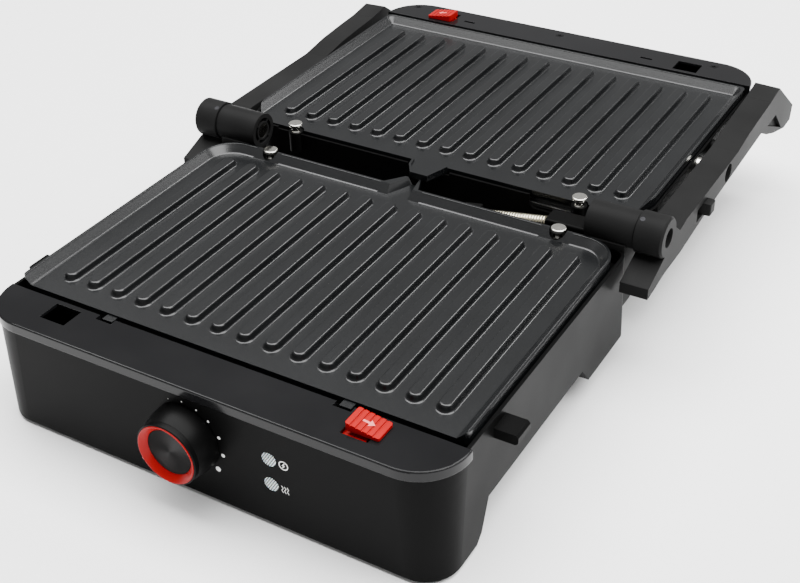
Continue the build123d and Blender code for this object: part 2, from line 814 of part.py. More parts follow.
def lid_frame():
    """Frame of the lid: walls, ledge, cross wall, bosses and holes."""
    top = lid_wall_drop_top()
    body = lid_shell(0, lid_split_drop, top) - lid_shell(lid_wall, lid_split_drop, top)
    tray_top = upper_field_z - plate_floor - skirt_drop
    half = lid_width / 2 - lid_wall
    outer = plan(half + lid_wall / 2, lid_near + lid_wall / 2, lid_strip_near + partition,
                 lid_near_radius, 1)
    inner = plan(half - ledge_width, lid_near + ledge_width, lid_strip_near - ledge_width / 2,
                 tray_corner_radius - tray_lip, tray_corner_radius - tray_lip)
    body += slab(outer - inner, tray_top - tray_sheet - ledge_height, tray_top - tray_sheet)
    body += block(-half, half, lid_strip_near, lid_strip_near + partition, tray_top - tray_sheet,
                  hinge_z - top)
    for x in (-strip_notch_x, strip_notch_x):
        body -= block(x - strip_notch_width / 2, x + strip_notch_width / 2, lid_strip_near - 1,
                      lid_strip_near + partition + 1, upper_field_z - plate_floor - 0.5, hinge_z)
    body -= near_wall_cut()
    for side in (-1, 1):
        seat = hinge_z - upper_seat_drop
        body += rod_z(seat - stud_boss_height, seat, side * notch_x, upper_stud_y, stud_boss_radius)
        body -= rod_z(seat - stud_stem_length, seat, side * notch_x, upper_stud_y, stud_stem_radius)
        spacer = rod_x(side * (lid_width / 2 - lid_wall / 2), side * (arm_inner_x - 0.6), spacer_y,
                       hinge_z - pivot_drop, spacer_size / 2)
        body += spacer
        body -= rod_x(side * (lid_width / 2 - 5), side * (lid_width / 2 + 5), pivot_y,
                      hinge_z - pivot_drop, pivot_radius + handle_fit)
    inside = plan(lid_width / 2 - lid_wall - slider_gap, lid_near, lid_far - lid_wall - slider_gap,
                  lid_near_radius, lid_far_radius - lid_wall - slider_gap)
    for x in lid_screw_x:
        post = rod_z(hinge_z - lid_post_depth, hinge_z + lid_strip_rise - strip_wall, x, lid_screw_y,
                     lid_post_radius)
        body += post & lid_shell(lid_wall / 2, lid_split_drop, top)
        body += post & slab(inside, hinge_z - top, hinge_z + lid_strip_rise)
        body -= screw_hole(x, lid_screw_y, hinge_z + lid_strip_rise)
    return body


def near_wall_cut():
    """Lowered middle of the near wall, with a round inner corner beside the hinge block."""
    low = hinge_z - near_wall_drop
    cut = block(near_step_left, near_step_right, lid_near - 2, lid_near + lid_wall + 0.6, low, hinge_z)
    deep = block(near_step_right - 1, barrel_inner_x, lid_near - 2, lid_near + lid_wall + 0.6,
                 hinge_z - near_cut_drop, hinge_z)
    corner = deep.edges().filter_by(Axis.Y).group_by(Axis.X)[0].sort_by(Axis.Z)[0]
    deep = fillet(corner, near_step_radius)
    tongue_room = block(upper_tongue_root[0] - tongue_clearance, upper_tongue_root[1] + tongue_clearance,
                        lid_near - 2, lid_near + lid_wall + 0.6, upper_field_z - plate_floor - 0.5, hinge_z)
    return [cut, deep, tongue_room]


def lid_dome():
    """Domed cover of the lid, open towards the plate and flat where the open lid rests."""
    outer = dome_loft(0, lid_split_drop)
    inner = dome_loft(dome_wall, lid_split_drop - dome_wall)
    return outer - inner


def dome_loft(inset, start_drop):
    """Rounded body of the dome, the outline drawn in faster and faster towards the flat."""
    depth = hinge_z - pad_height - lid_split_drop
    sections = []
    for number in range(dome_steps + 1):
        share = (number / dome_steps) ** 0.8
        drop = start_drop + depth * share
        shrink = dome_top_inset * share ** 1.6 + inset
        half = lid_width / 2 - shrink
        near = lid_near + lid_near_lean + shrink
        far = lid_far - lid_far_lean - shrink
        sections.append(Pos(0, 0, hinge_z - drop) * plan(half, near, far, lid_near_radius, lid_far_radius))
    return loft(sections, ruled=True)


def lid_strip():
    """Glossy strip along the far edge of the lid."""
    top = hinge_z + lid_strip_rise
    room = block(-lid_width, lid_width, lid_strip_near, lid_far + 5, top - strip_height, top)
    outline = plan(lid_width / 2 + lid_strip_overhang, lid_near, lid_far + lid_strip_overhang,
                   lid_near_radius, lid_far_radius)
    body = slab(outline, top - strip_height, top) & room
    body = fillet(body.edges().group_by(Axis.Z)[-1].sort_by(Axis.Y)[1:], strip_edge_radius)
    inner = plan(lid_width / 2 - lid_wall, lid_near, lid_far - lid_wall, lid_near_radius,
                 lid_far_radius - lid_wall)
    body -= slab(inner, top - strip_height, top - strip_wall) & block(
        -lid_width, lid_width, lid_strip_near + strip_wall, lid_far, 0, top)
    turned = [Rot(0, 0, 180) * hole for hole in strip_holes(-lid_strip_near, top)]
    shifts = [Pos(slider_x - relief_x, 0, 0), Pos(slider_x - relief_x, 0, 0)]
    body -= [shift * hole for shift, hole in zip(shifts, turned)]
    for x in lid_slot_x:
        body -= Pos(x, lid_screw_y - lid_slot_offset, top) * Box(lid_slot_length, lid_slot_width,
                                                                 3 * strip_wall)
    for x in lid_screw_x:
        body -= screw_hole(x, lid_screw_y, top)
    return body


def lid_screws():
    """Three screws along the lid strip."""
    return Compound([screw(x, lid_screw_y, hinge_z + lid_strip_rise) for x in lid_screw_x])


def lid_slider_place():
    """Place of the slider of the lid, turned round and over the relief of the base."""
    y = lid_strip_near + slider_inset
    return Pos(-relief_x, y, hinge_z + lid_strip_rise) * Rot(0, 0, 180)


def pads():
    """Pads that the open lid rests on."""
    made = []
    for side in (-1, 1):
        for y in (pad_near_y, pad_far_y):
            pad = rod_z(0, pad_height, side * pad_x, y, pad_radius)
            made.append(fillet(pad.edges().group_by(Axis.Z)[0], 0.8))
    return Compound(made)


def arm_top():
    """Top edge of an arm on its outer side, from the hub to the grip."""
    return [(-2, 4), (8, 4), (notch_y, -notch_drop), (30, -arm_top_drop), (joint_y - 68, -arm_top_drop),
            (joint_y - 44, 0.2), (joint_y - 20, 1.8), (joint_y, arm_joint_rise)]


def arm_bottom():
    """Bottom edge of an arm, from the heel to the grip."""
    return [(-2, -arm_bottom_drop), (24, -arm_bottom_drop), (84, -arm_neck_drop),
            (joint_y - 14, -arm_swell_drop), (joint_y, -arm_joint_drop)]


def grip_top():
    """Top edge of a grip on its outer side."""
    return [(joint_y, arm_joint_rise), (grip_crest_y, grip_crest_rise), (grip_end_y, -grip_end_drop)]


def grip_bottom():
    """Bottom edge of a grip and its rounded tip."""
    return [(joint_y, -arm_joint_drop), (grip_crest_y, -grip_belly_drop), (handle_y - 7, -grip_foot_drop),
            (grip_end_y - 2, -grip_foot_drop), (grip_end_y, -grip_end_drop)]


def leaning_bar(top, bottom):
    """Bar across the width of an arm whose top faces rise towards the lid."""
    deep = -2 * arm_bottom_drop
    lean = [(top[0][0], deep)] + top + [(top[-1][0], deep)]
    lean = [(arm_inner_x, y, hinge_z + z + arm_slope) for y, z in lean]
    leaning = Solid.extrude(make_face(Polyline(*lean, close=True)).face(), Vector(arm_width, 0, -arm_slope))
    level = bottom + [(bottom[-1][0], arm_bottom_drop), (bottom[0][0], arm_bottom_drop)]
    straight = side_profile([(y, hinge_z + z) for y, z in level], arm_inner_x, arm_inner_x + arm_width)
    return straight & leaning


def arm():
    """Right arm with its hub, heel and holes."""
    outer_x = arm_inner_x + arm_width
    body = leaning_bar(arm_top(), arm_bottom())
    heel = [(-2, -arm_bottom_drop), (heel_front_y + 3, -heel_bottom_drop), (heel_front_y, -heel_bottom_drop),
            (heel_front_y, -heel_top_drop - 1.5), (-10, -13), (-2, -10)]
    body += side_profile([(y, hinge_z + z) for y, z in heel], arm_inner_x, outer_x)
    hub = rod_x(arm_inner_x, outer_x, 0, hinge_z, hub_radius)
    body += chamfer(hub.edges().group_by(Axis.X)[-1], 1.2)
    body -= rod_x(arm_inner_x - 1, outer_x - hub_hole_depth, 0, hinge_z, shaft_radius + bush_wall)
    body -= rod_x(arm_inner_x, outer_x + 1, 0, hinge_z, hub_hole_radius)
    body -= rod_x(arm_inner_x - 1, outer_x, pivot_y, hinge_z - pivot_drop, pivot_radius + running_clearance)
    body -= rod_x(outer_x - pivot_hole_depth, outer_x + 1, pivot_y, hinge_z - pivot_drop, pivot_hole_radius)
    body -= rod_x(arm_inner_x - 1, arm_inner_x + handle_seat, handle_y, hinge_z - handle_drop,
                  handle_radius)
    return body - hub_pin_shape()


def peg_slot():
    """Slot of the release peg in the right arm, open towards the outside."""
    outer_x = arm_inner_x + arm_width
    half = peg_size / 2 + peg_gap
    return block(outer_x - peg_depth, outer_x + 1, peg_y - half - peg_travel, peg_y + half,
                 hinge_z - peg_drop - half, hinge_z - peg_drop + half)


def release_peg():
    """Square peg that slides towards the hub to free the lid."""
    outer_x = arm_inner_x + arm_width
    half = peg_size / 2
    body = block(outer_x - peg_depth + peg_gap, outer_x + peg_proud, peg_y - half, peg_y + half,
                 hinge_z - peg_drop - half, hinge_z - peg_drop + half)
    return chamfer(body.edges().group_by(Axis.X)[-1], 0.6)


def grip():
    """Right grip, where the handle tube ends."""
    body = leaning_bar(grip_top(), grip_bottom())
    outer_x = arm_inner_x + arm_width
    facet = [(joint_y, hinge_z - facet_drop), (grip_crest_y, hinge_z - facet_drop),
             (facet_end_y, hinge_z - facet_end_drop)]
    body -= side_profile(facet, outer_x - facet_depth, outer_x + 1)
    return body - rod_x(arm_inner_x - 1, arm_inner_x + handle_seat, handle_y, hinge_z - handle_drop,
                        handle_radius + handle_fit)


def hub_pin_shape():
    """Steel pin beside the seam of a hub."""
    spot = Pos(arm_inner_x + 2.4, 0, hinge_z) * Rot(25, 0, 0) * Pos(0, 0, hub_radius - hub_pin_length / 2)
    return spot * Cylinder(hub_pin_radius, hub_pin_length)


def hinge_barrel():
    """Right barrel with its bore, hollow inner end and the web that stands on the base."""
    end = arm_inner_x - seam_gap
    body = rod_x(barrel_inner_x, end, 0, hinge_z, barrel_radius)
    web = block(end - web_width - 4, end - 4, base_rear - 2, 8, web_foot_z, hinge_z - barrel_radius / 2)
    web = fillet(web.edges().filter_by(Axis.X).group_by(Axis.Y)[-1].sort_by(Axis.Z)[0], 6)
    body += web - base_body(base_bottom, base_top)
    hollow = rod_x(barrel_inner_x - 1, barrel_inner_x + barrel_hollow_depth, 0, hinge_z,
                   barrel_hollow_radius)
    hollow -= rod_x(barrel_inner_x - 2, barrel_inner_x + barrel_hollow_depth + 1, 0, hinge_z,
                    shaft_radius + 1.4)
    for angle in (45, 135):
        hollow -= Pos(barrel_inner_x, 0, hinge_z) * Rot(angle, 0, 0) * Box(40, 1.2, 40)
    body -= hollow
    return body - rod_x(barrel_inner_x - 1, end + 1, 0, hinge_z, shaft_radius + handle_fit)


def hinge_shaft():
    """Right hinge shaft, fixed in the barrel."""
    return rod_x(barrel_inner_x + 0.5, arm_inner_x + arm_width - hub_hole_depth, 0, hinge_z, shaft_radius)


def hub_bush():
    """Bush in the right hub, turning on the shaft."""
    x0 = arm_inner_x
    x1 = arm_inner_x + arm_width - hub_hole_depth
    outer = rod_x(x0, x1, 0, hinge_z, shaft_radius + bush_wall)
    return outer - rod_x(x0 - 1, x1 + 1, 0, hinge_z, shaft_radius + running_clearance)


def pivot_pin():
    """Right pin that carries the lid in the arm, with a collar between them."""
    y = pivot_y
    z = hinge_z - pivot_drop
    wall_in = lid_width / 2 - lid_wall - 0.6
    body = rod_x(wall_in, arm_inner_x + arm_width - pivot_hole_depth + 1.5, y, z, pivot_radius)
    return body + rod_x(lid_width / 2, arm_inner_x - seam_gap, y, z, pivot_collar_radius)


def handle_tube():
    """Chromed tube between the two grips."""
    end = arm_inner_x + handle_seat
    bore = rod_x(-end - 1, end + 1, handle_y, hinge_z - handle_drop, handle_radius - 1.0)
    return rod_x(-end, end, handle_y, hinge_z - handle_drop, handle_radius) - bore


def knob_place():
    """The knob's own Z axis points out of the front face."""
    rear = front_face_y(knob_z + knob_rear_radius) - knob_gap
    return Pos(knob_x, rear, knob_z) * Rot(90, 0, 0)


def knob_body():
    """Knob with bulging sides, a bore for the shaft and room for the nut."""
    top = knob_length - knob_ring_depth
    profile = Polyline((0, top), (0, 0), (knob_rear_radius, 0))
    profile += ThreePointArc((knob_rear_radius, 0),
                             ((knob_rear_radius + knob_front_radius) / 2 + 0.5, top * 0.55),
                             (knob_front_radius, top))
    profile += Line((knob_front_radius, top), (0, top))
    body = revolve(Plane.XZ * make_face(profile), Axis.Z)
    body -= rod_z(-1, knob_bore_depth, 0, 0, thermostat_shaft_radius + handle_fit)
    return body - rod_z(-1, knob_hollow_depth, 0, 0, knob_hollow_radius)


def knob_ring():
    """Red ring round the face of the knob, with its pointer nub."""
    low = knob_length - knob_ring_depth
    ring = rod_z(low, knob_length, 0, 0, knob_front_radius)
    ring -= rod_z(low - 1, knob_length + 1, 0, 0, knob_cap_radius + handle_fit)
    ring = chamfer(ring.edges().group_by(Axis.Z)[-1], knob_ring_bevel)
    angle = math.radians(pointer_angle)
    spot = (knob_front_radius - 0.4) * math.cos(angle), (knob_front_radius - 0.4) * math.sin(angle)
    return ring + rod_z(low, knob_length - knob_ring_bevel, spot[0], spot[1], pointer_radius)


def knob_cap():
    """Spun metal disc inside the ring."""
    low = knob_length - knob_ring_depth
    return rod_z(low, knob_length - knob_cap_recess, 0, 0, knob_cap_radius)


def thermostat():
    """Thermostat behind the front wall, with a threaded neck through it."""
    back = base_front + front_draft + base_wall + 4
    body = block(knob_x - thermostat_size / 2, knob_x + thermostat_size / 2, back, back + thermostat_depth,
                 knob_z - thermostat_size / 2, knob_z + thermostat_size / 2)
    rear = front_face_y(knob_z + knob_rear_radius) - knob_gap
    neck = rod_y(rear - knob_hollow_depth + 0.6, back, knob_x, knob_z, thermostat_neck_radius)
    bore = rod_y(rear - knob_hollow_depth, back + 3, knob_x, knob_z,
                 thermostat_shaft_radius + running_clearance)
    return body + neck - bore


def thermostat_nut():
    """Nut that holds the thermostat neck to the front wall."""
    face = front_face_y(knob_z + nut_width / 2)
    nut = Pos(knob_x, face, knob_z) * Rot(90, 0, 0) * extrude(RegularPolygon(nut_width / 2, 6), nut_thickness)
    return nut - rod_y(face - 5, face + 5, knob_x, knob_z, thermostat_neck_radius + handle_fit)


def knob_shaft():
    """Shaft of the thermostat that turns with the knob."""
    back = base_front + front_draft + base_wall + 4
    rear = front_face_y(knob_z + knob_rear_radius) - knob_gap
    return rod_y(rear - knob_bore_depth + 0.5, back + 2.5, knob_x, knob_z, thermostat_shaft_radius)


def lamp_lenses():
    """Two round lamp lenses in the front wall."""
    made = []
    for z in (lamp_low_z, lamp_high_z):
        face = front_face_y(z)
        inner = face + base_wall + 0.3
        lens = rod_y(face - lamp_proud, inner, lamp_x, z, lamp_radius)
        lens = fillet(lens.edges().group_by(Axis.Y)[0], lamp_proud)
        made.append(lens + rod_y(inner, inner + lamp_flange, lamp_x, z, lamp_flange_radius))
    return Compound(made)


def lamp_board():
    """Circuit board with the two lamps, behind the lenses."""
    back = base_front + front_draft + base_wall + lamp_flange + 6
    middle = (lamp_low_z + lamp_high_z) / 2
    board = block(lamp_x - board_width / 2, lamp_x + board_width / 2, back, back + board_thickness,
                  middle - board_height / 2, middle + board_height / 2)
    for z in (lamp_low_z, lamp_high_z):
        face = front_face_y(z) + base_wall + lamp_flange + 0.6
        board += rod_y(face, back, lamp_x, z, led_radius)
    return board


def conduit_path():
    """Helix along X made of two arcs for each half turn, straight at both ends."""
    radius = conduit_radius - conduit_wire / 2
    start_x = conduit_right_x - conduit_wire - conduit_bend
    steps = 2 * conduit_curls
    points = []
    directions = []
    for step in range(steps + 1):
        angle = math.pi * step
        x = start_x - conduit_pitch * step / 2
        points.append(Vector(x, radius * math.cos(angle), radius * math.sin(angle)))
        directions.append(Vector(-conduit_pitch / (2 * math.pi), -radius * math.sin(angle),
                                 radius * math.cos(angle)).normalized())
    return points, directions


def biarc(start, start_way, end, end_way):
    """Two tangent arcs from one point and direction to another."""
    chord = end - start
    both = start_way + end_way
    square = 2 * (1 - start_way.dot(end_way))
    half = chord.dot(both)
    reach = (-half + math.sqrt(half * half + square * chord.dot(chord))) / square
    middle = (start + start_way * reach + end - end_way * reach) * 0.5
    first = Edge.make_tangent_arc(start, start_way, middle)
    second = Edge.make_tangent_arc(middle, first % 1, end)
    return [first, second]


def sideways(way):
    """The part of a direction that lies square to X."""
    return Vector(0, way.Y, way.Z).normalized()


def wire_conduit():
    """Coil spring round the wires, one unbroken tube."""
    points, ways = conduit_path()
    along = Vector(-1, 0, 0)
    points.insert(0, points[0] - (sideways(ways[0]) + along) * conduit_bend)
    ways.insert(0, along)
    points.append(points[-1] + (sideways(ways[-1]) + along) * conduit_bend)
    ways.append(along)
    start = points[0] - along * conduit_wire
    edges = [Edge.make_line(start, points[0])]
    for number in range(len(points) - 1):
        edges += biarc(points[number], ways[number], points[number + 1], ways[number + 1])
    edges.append(Edge.make_line(points[-1], points[-1] + along * conduit_wire))
    path = Wire(edges)
    body = sweep(Plane(origin=start, z_dir=along) * Circle(conduit_wire / 2), path=path)
    least = conduit_gap(path)
    print(f"conduit: {conduit_curls} curls, least gap between curls {least:.2f} mm")
    return conduit_place() * body


def conduit_gap(path):
    """Least distance between the walls of neighbouring curls, on points along the path."""
    count = 24 * conduit_curls
    spots = [path @ (number / count) for number in range(count + 1)]
    near = 12
    least = min((spots[a] - spots[b]).length for a in range(0, count + 1, 3)
                for b in range(a + near, min(a + 3 * near, count + 1)))
    return least - conduit_wire


def conduit_left_x():
    """Where the left end of the conduit meets its socket, before it is turned."""
    return conduit_right_x - conduit_pitch * conduit_curls - 2 * (conduit_wire + conduit_bend)


def conduit_place():
    """Place of the conduit, falling and running forward from the hinge block to its socket."""
    end = Pos(conduit_right_x + conduit_depth, conduit_y, hinge_z - conduit_drop)
    return end * Rot(0, 0, conduit_sweep) * Rot(0, -conduit_dip, 0) * Pos(-conduit_right_x, 0, 0)


def wire_core():
    """Wires inside the conduit."""
    x0 = conduit_left_x() - socket_length / 2
    return conduit_place() * rod_x(x0, conduit_right_x, 0, 0, core_radius)


def hinge_block():
    """Block beside the right barrel, where the wires turn into the hinge."""
    body = block(conduit_right_x, barrel_inner_x, block_near_y, block_far_y,
                 hinge_z - block_bottom_drop, hinge_z - block_top_drop)
    body = fillet(body.edges().filter_by(Axis.X).group_by(Axis.Z)[-1], 1.5)
    depth = 2 * conduit_depth + 1
    mouth = rod_x(conduit_right_x - depth, conduit_right_x + conduit_clearance, 0, 0,
                  conduit_radius + conduit_clearance)
    return body - conduit_place() * mouth


def conduit_socket():
    """Socket behind the base that the conduit starts from."""
    x1 = conduit_left_x()
    half = conduit_radius + 1
    body = block(x1 - socket_length, x1, -socket_reach, half, -socket_reach, half)
    body -= rod_x(x1 - socket_length / 2 - 1, x1 + 1, 0, 0, core_radius + handle_fit)
    return conduit_place() * body - base_body(base_bottom, base_top)


def terminal_block():
    """Terminals for the mains and heater wires."""
    rear = terminal_front + terminal_depth
    body = block(-terminal_length / 2, terminal_length / 2, terminal_front, rear, floor_z,
                 floor_z + terminal_height)
    for number in range(terminal_count):
        x = (number - (terminal_count - 1) / 2) * terminal_length / terminal_count
        body -= rod_y(terminal_front - 1, rear + 1, x, floor_z + terminal_height * 0.4, terminal_bore)
    return body


def cord_gland():
    """Bush in the rear wall where the mains wires enter."""
    z = floor_z + gland_rise
    rear = base_rear + rear_flare * (base_top - z) / base_height
    lip = rear + 1.2
    body = rod_y(rear - base_wall - 2, lip, gland_x, z, gland_radius - gland_flange)
    body += rod_y(lip, lip + gland_flange, gland_x, z, gland_radius)
    return body - rod_y(rear - 20, rear + 10, gland_x, z, gland_bore)


def lower_studs():
    """Studs behind the lower plate."""
    top = hinge_z - upper_stud_rise - 2 * stud_top_clearance
    return Compound([stud(side * notch_x, lower_stud_y, base_top, top) for side in (-1, 1)])


def upper_studs():
    """Studs in front of the upper plate."""
    seat = hinge_z - upper_seat_drop
    return Compound([stud(side * notch_x, upper_stud_y, seat, hinge_z + upper_stud_rise)
                     for side in (-1, 1)])


def heat_tray(plate_front, field_z, stud_y):
    """Heat tray of one plate, with room for the stud bosses."""
    flange_top = field_z - plate_floor - skirt_drop
    body = tray(plate_front + tray_margin, plate_front + plate_depth - tray_margin, flange_top)
    for side in (-1, 1):
        body -= rod_z(flange_top - tray_depth, flange_top, side * notch_x, stud_y, notch_radius)
    return body


def plate_heater(plate_front, field_z):
    """Heater of one plate, close under its floor, and the saddles that carry it."""
    z = field_z - plate_floor - heater_gap - heater_radius
    tray_floor = field_z - plate_floor - skirt_drop - tray_depth + tray_sheet
    return Compound(heater(plate_front, plate_front + plate_depth, z, tray_floor))


nodes["base_housing"] = base_housing()
nodes["base_strip"] = base_strip()
nodes["bottom_cover"] = bottom_cover()
nodes["cover_screws"] = cover_screws()
nodes["rubber_feet"] = feet()
nodes["lower_plate"] = lower_plate()
nodes["lower_tray"] = heat_tray(lower_plate_front, lower_field_z, lower_stud_y)
nodes["lower_heater"] = plate_heater(lower_plate_front, lower_field_z)
nodes["lower_studs"] = lower_studs()
nodes["lower_slider"] = slider_place(strip_rear, base_top) * wedge_slider()
nodes["thermostat"] = thermostat()
nodes["thermostat_nut"] = thermostat_nut()
nodes["knob_shaft"] = knob_shaft()
nodes["knob_body"] = knob_place() * knob_body()
nodes["knob_ring"] = knob_place() * knob_ring()
nodes["knob_cap"] = knob_place() * knob_cap()
nodes["lamp_lenses"] = lamp_lenses()
nodes["lamp_board"] = lamp_board()
nodes["terminal_block"] = terminal_block()
nodes["cord_gland"] = cord_gland()
nodes["hinge_block"] = hinge_block()
nodes["conduit_socket"] = conduit_socket()
nodes["wire_conduit"] = wire_conduit()
nodes["wire_core"] = wire_core()
for name, shape in (("hinge_barrel", hinge_barrel()), ("hinge_shaft", hinge_shaft()),
                    ("hub_bush", hub_bush()), ("arm_grip", grip())):
    nodes["right_" + name] = shape
    nodes["left_" + name] = mirror(shape, Plane.YZ)
nodes["right_arm"] = arm() - peg_slot()
nodes["left_arm"] = mirror(arm(), Plane.YZ)
nodes["release_peg"] = release_peg()
nodes["hub_pins"] = Compound(both_sides(hub_pin_shape()))
nodes["handle_tube"] = handle_tube()
nodes["lid_frame"] = lid_frame()
nodes["lid_dome"] = lid_dome()
nodes["lid_strip"] = lid_strip()
nodes["lid_screws"] = lid_screws()
nodes["lid_pads"] = pads()
nodes["upper_plate"] = upper_plate()
nodes["upper_tray"] = heat_tray(upper_plate_front, upper_field_z, upper_stud_y)
nodes["upper_heater"] = plate_heater(upper_plate_front, upper_field_z)
nodes["upper_studs"] = upper_studs()
nodes["upper_slider"] = lid_slider_place() * wedge_slider()
nodes["pivot_pins"] = Compound(both_sides(pivot_pin()))
os.makedirs("parts", exist_ok=True)
for name, shape in nodes.items():
    print(name, len(shape.solids()), round(shape.volume), shape.is_valid)
    export_step(shape, f"parts/{name}.step")
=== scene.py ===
import math

import bmesh
import bpy
import numpy as np
from mathutils import Matrix, Quaternion, Vector


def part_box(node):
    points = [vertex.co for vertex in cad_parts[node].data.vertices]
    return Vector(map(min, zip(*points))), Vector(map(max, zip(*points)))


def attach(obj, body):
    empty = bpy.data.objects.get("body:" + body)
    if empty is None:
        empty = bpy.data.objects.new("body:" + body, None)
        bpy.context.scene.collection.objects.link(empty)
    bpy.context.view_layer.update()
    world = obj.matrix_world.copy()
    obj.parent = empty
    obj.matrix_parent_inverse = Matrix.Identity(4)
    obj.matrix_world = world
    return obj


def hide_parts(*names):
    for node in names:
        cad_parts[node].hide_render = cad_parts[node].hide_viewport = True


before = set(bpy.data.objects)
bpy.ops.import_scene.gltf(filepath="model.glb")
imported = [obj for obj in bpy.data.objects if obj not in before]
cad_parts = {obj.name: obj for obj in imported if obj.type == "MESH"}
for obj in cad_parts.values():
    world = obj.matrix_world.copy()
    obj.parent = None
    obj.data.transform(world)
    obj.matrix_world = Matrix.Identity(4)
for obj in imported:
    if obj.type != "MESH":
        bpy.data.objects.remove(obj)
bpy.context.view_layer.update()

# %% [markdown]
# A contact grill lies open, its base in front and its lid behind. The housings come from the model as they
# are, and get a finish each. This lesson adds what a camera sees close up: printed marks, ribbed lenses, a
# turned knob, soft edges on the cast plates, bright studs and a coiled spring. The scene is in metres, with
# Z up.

MM = 0.001

# %% [markdown]
# The photograph was taken from the front right, looking down. A camera has a place, a direction and a lens,
# and all three were fitted so that the grill's corners fall where the photo shows them. A small roll about
# the line of sight is what a hand-held or slightly tilted camera gives. The angles are in degrees, and the
# sensor and lens in millimetres.

# %% Camera
camera_turn, camera_height, camera_roll = 31.22, 34.35, -1.54
camera_spot = Vector((0.3645, -0.6264, 0.4887))
sensor_width, focal_length = 36.0, 58.8


def make_camera():
    """Looks against the vector (sin a cos e, -cos a cos e, sin e), then rolls about it."""
    a, e = math.radians(camera_turn), math.radians(camera_height)
    back = Vector((math.sin(a) * math.cos(e), -math.cos(a) * math.cos(e), math.sin(e)))
    camera = bpy.data.objects.new("camera", bpy.data.cameras.new("camera"))
    bpy.context.scene.collection.objects.link(camera)
    camera.rotation_mode = "QUATERNION"
    camera.location = camera_spot
    roll = Quaternion((0, 0, 1), math.radians(camera_roll))
    camera.rotation_quaternion = (-back).to_track_quat("-Z", "Y") @ roll
    camera.data.sensor_width = sensor_width
    camera.data.lens = focal_length
    return camera


bpy.context.scene.camera = make_camera()
print("camera at", [round(v, 3) for v in camera_spot], "m, with a lens of", focal_length, "mm")

# %% [markdown]
# Colours are written as the hex codes that a colour picker shows, and shaders want linear light, so one
# function turns one into the other. One more function adds a node with its values and links, which keeps
# each material readable as a short list.

# %% Colour and node helpers


def linear(code):
    """Hex code to linear light: c / 12.92 near black, else ((c + 0.055) / 1.055) to the power 2.4."""
    srgb = np.array([int(code[i:i + 2], 16) for i in (1, 3, 5)]) / 255
    light = np.where(srgb <= 0.04045, srgb / 12.92, ((srgb + 0.055) / 1.055) ** 2.4)
    return (*light.tolist(), 1.0)


def add_node(material, kind, **given):
    """Adds a node. A pair (node, output) is linked, and any other value is set on its socket or property.

    A name is that of a socket or a property, and n6 stands for the socket with number 6.
    """
    node = material.node_tree.nodes.new("ShaderNode" + kind)
    for name, value in given.items():
        title = name.replace("_", " ").title().replace("Ior", "IOR")
        key = int(name[1:]) if name[0] == "n" and name[1:].isdigit() else title
        known = isinstance(key, int) or key in node.inputs
        if not known:
            setattr(node, name, value)
        elif isinstance(value, tuple) and isinstance(value[0], bpy.types.Node):
            material.node_tree.links.new(value[0].outputs[value[1]], node.inputs[key])
        else:
            node.inputs[key].default_value = value
    return node


def new_material(name):
    """A material that holds only the object's own coordinates, and the pair that links them."""
    material = bpy.data.materials.new(name)
    material.use_nodes = True
    material.node_tree.nodes.clear()
    place = add_node(material, "TexCoord")
    return material, (place, "Object")


def surface(material, **given):
    """The main shader of a material, linked to its output."""
    shader = add_node(material, "BsdfPrincipled", **given)
    add_node(material, "OutputMaterial", Surface=(shader, "BSDF"))


def ramp(material, value, low, high, colours):
    """Two colours or greys that a pattern value between low and high picks from."""
    node = add_node(material, "ValToRGB", Fac=value)
    node.color_ramp.elements[0].position, node.color_ramp.elements[1].position = low, high
    node.color_ramp.elements[0].color, node.color_ramp.elements[1].color = colours
    return (node, "Color")


def grey(value):
    """A grey for a ramp that feeds a number."""
    return (value, value, value, 1.0)


# %% [markdown]
# The housing is moulded plastic with a fine eroded texture in its mould. That texture breaks the shine into
# a soft haze, and every outer edge is rounded by about half a millimetre. The grain is noise on the object's
# coordinates, and the bevel node rounds the edges for the light without new faces. Rubber, ceramic and woven
# glass are made in the same way, with other grains.

# %% Moulded plastic


def moulded(name, dark, light, roughness, grain_mm, depth_mm, edge_mm=0.5, shine=0.5):
    """Plastic with a grain of that size in its mould, clouded a little by handling.

    Shine is the strength of its reflection, and 0.5 is that of plain plastic.
    """
    material, place = new_material(name)
    cloud = add_node(material, "TexNoise", Vector=place, Scale=1 / (60 * MM), Detail=3.0)
    grain = add_node(material, "TexNoise", Vector=place, Scale=1 / (grain_mm * MM), Detail=2.0)
    edge = add_node(material, "Bevel", samples=4, Radius=edge_mm * MM)
    bump = add_node(material, "Bump", Strength=0.5, Distance=depth_mm * MM, Height=(grain, "Fac"),
                    Normal=(edge, "Normal"))
    shade = ramp(material, (cloud, "Fac"), 0.35, 0.7, (linear(dark), linear(light)))
    rough = ramp(material, (cloud, "Fac"), 0.3, 0.7, (grey(roughness - 0.04), grey(roughness + 0.05)))
    surface(material, Base_Color=shade, Roughness=rough, Normal=(bump, "Normal"), IOR=1.5,
            Specular_Ior_Level=shine)
    return material


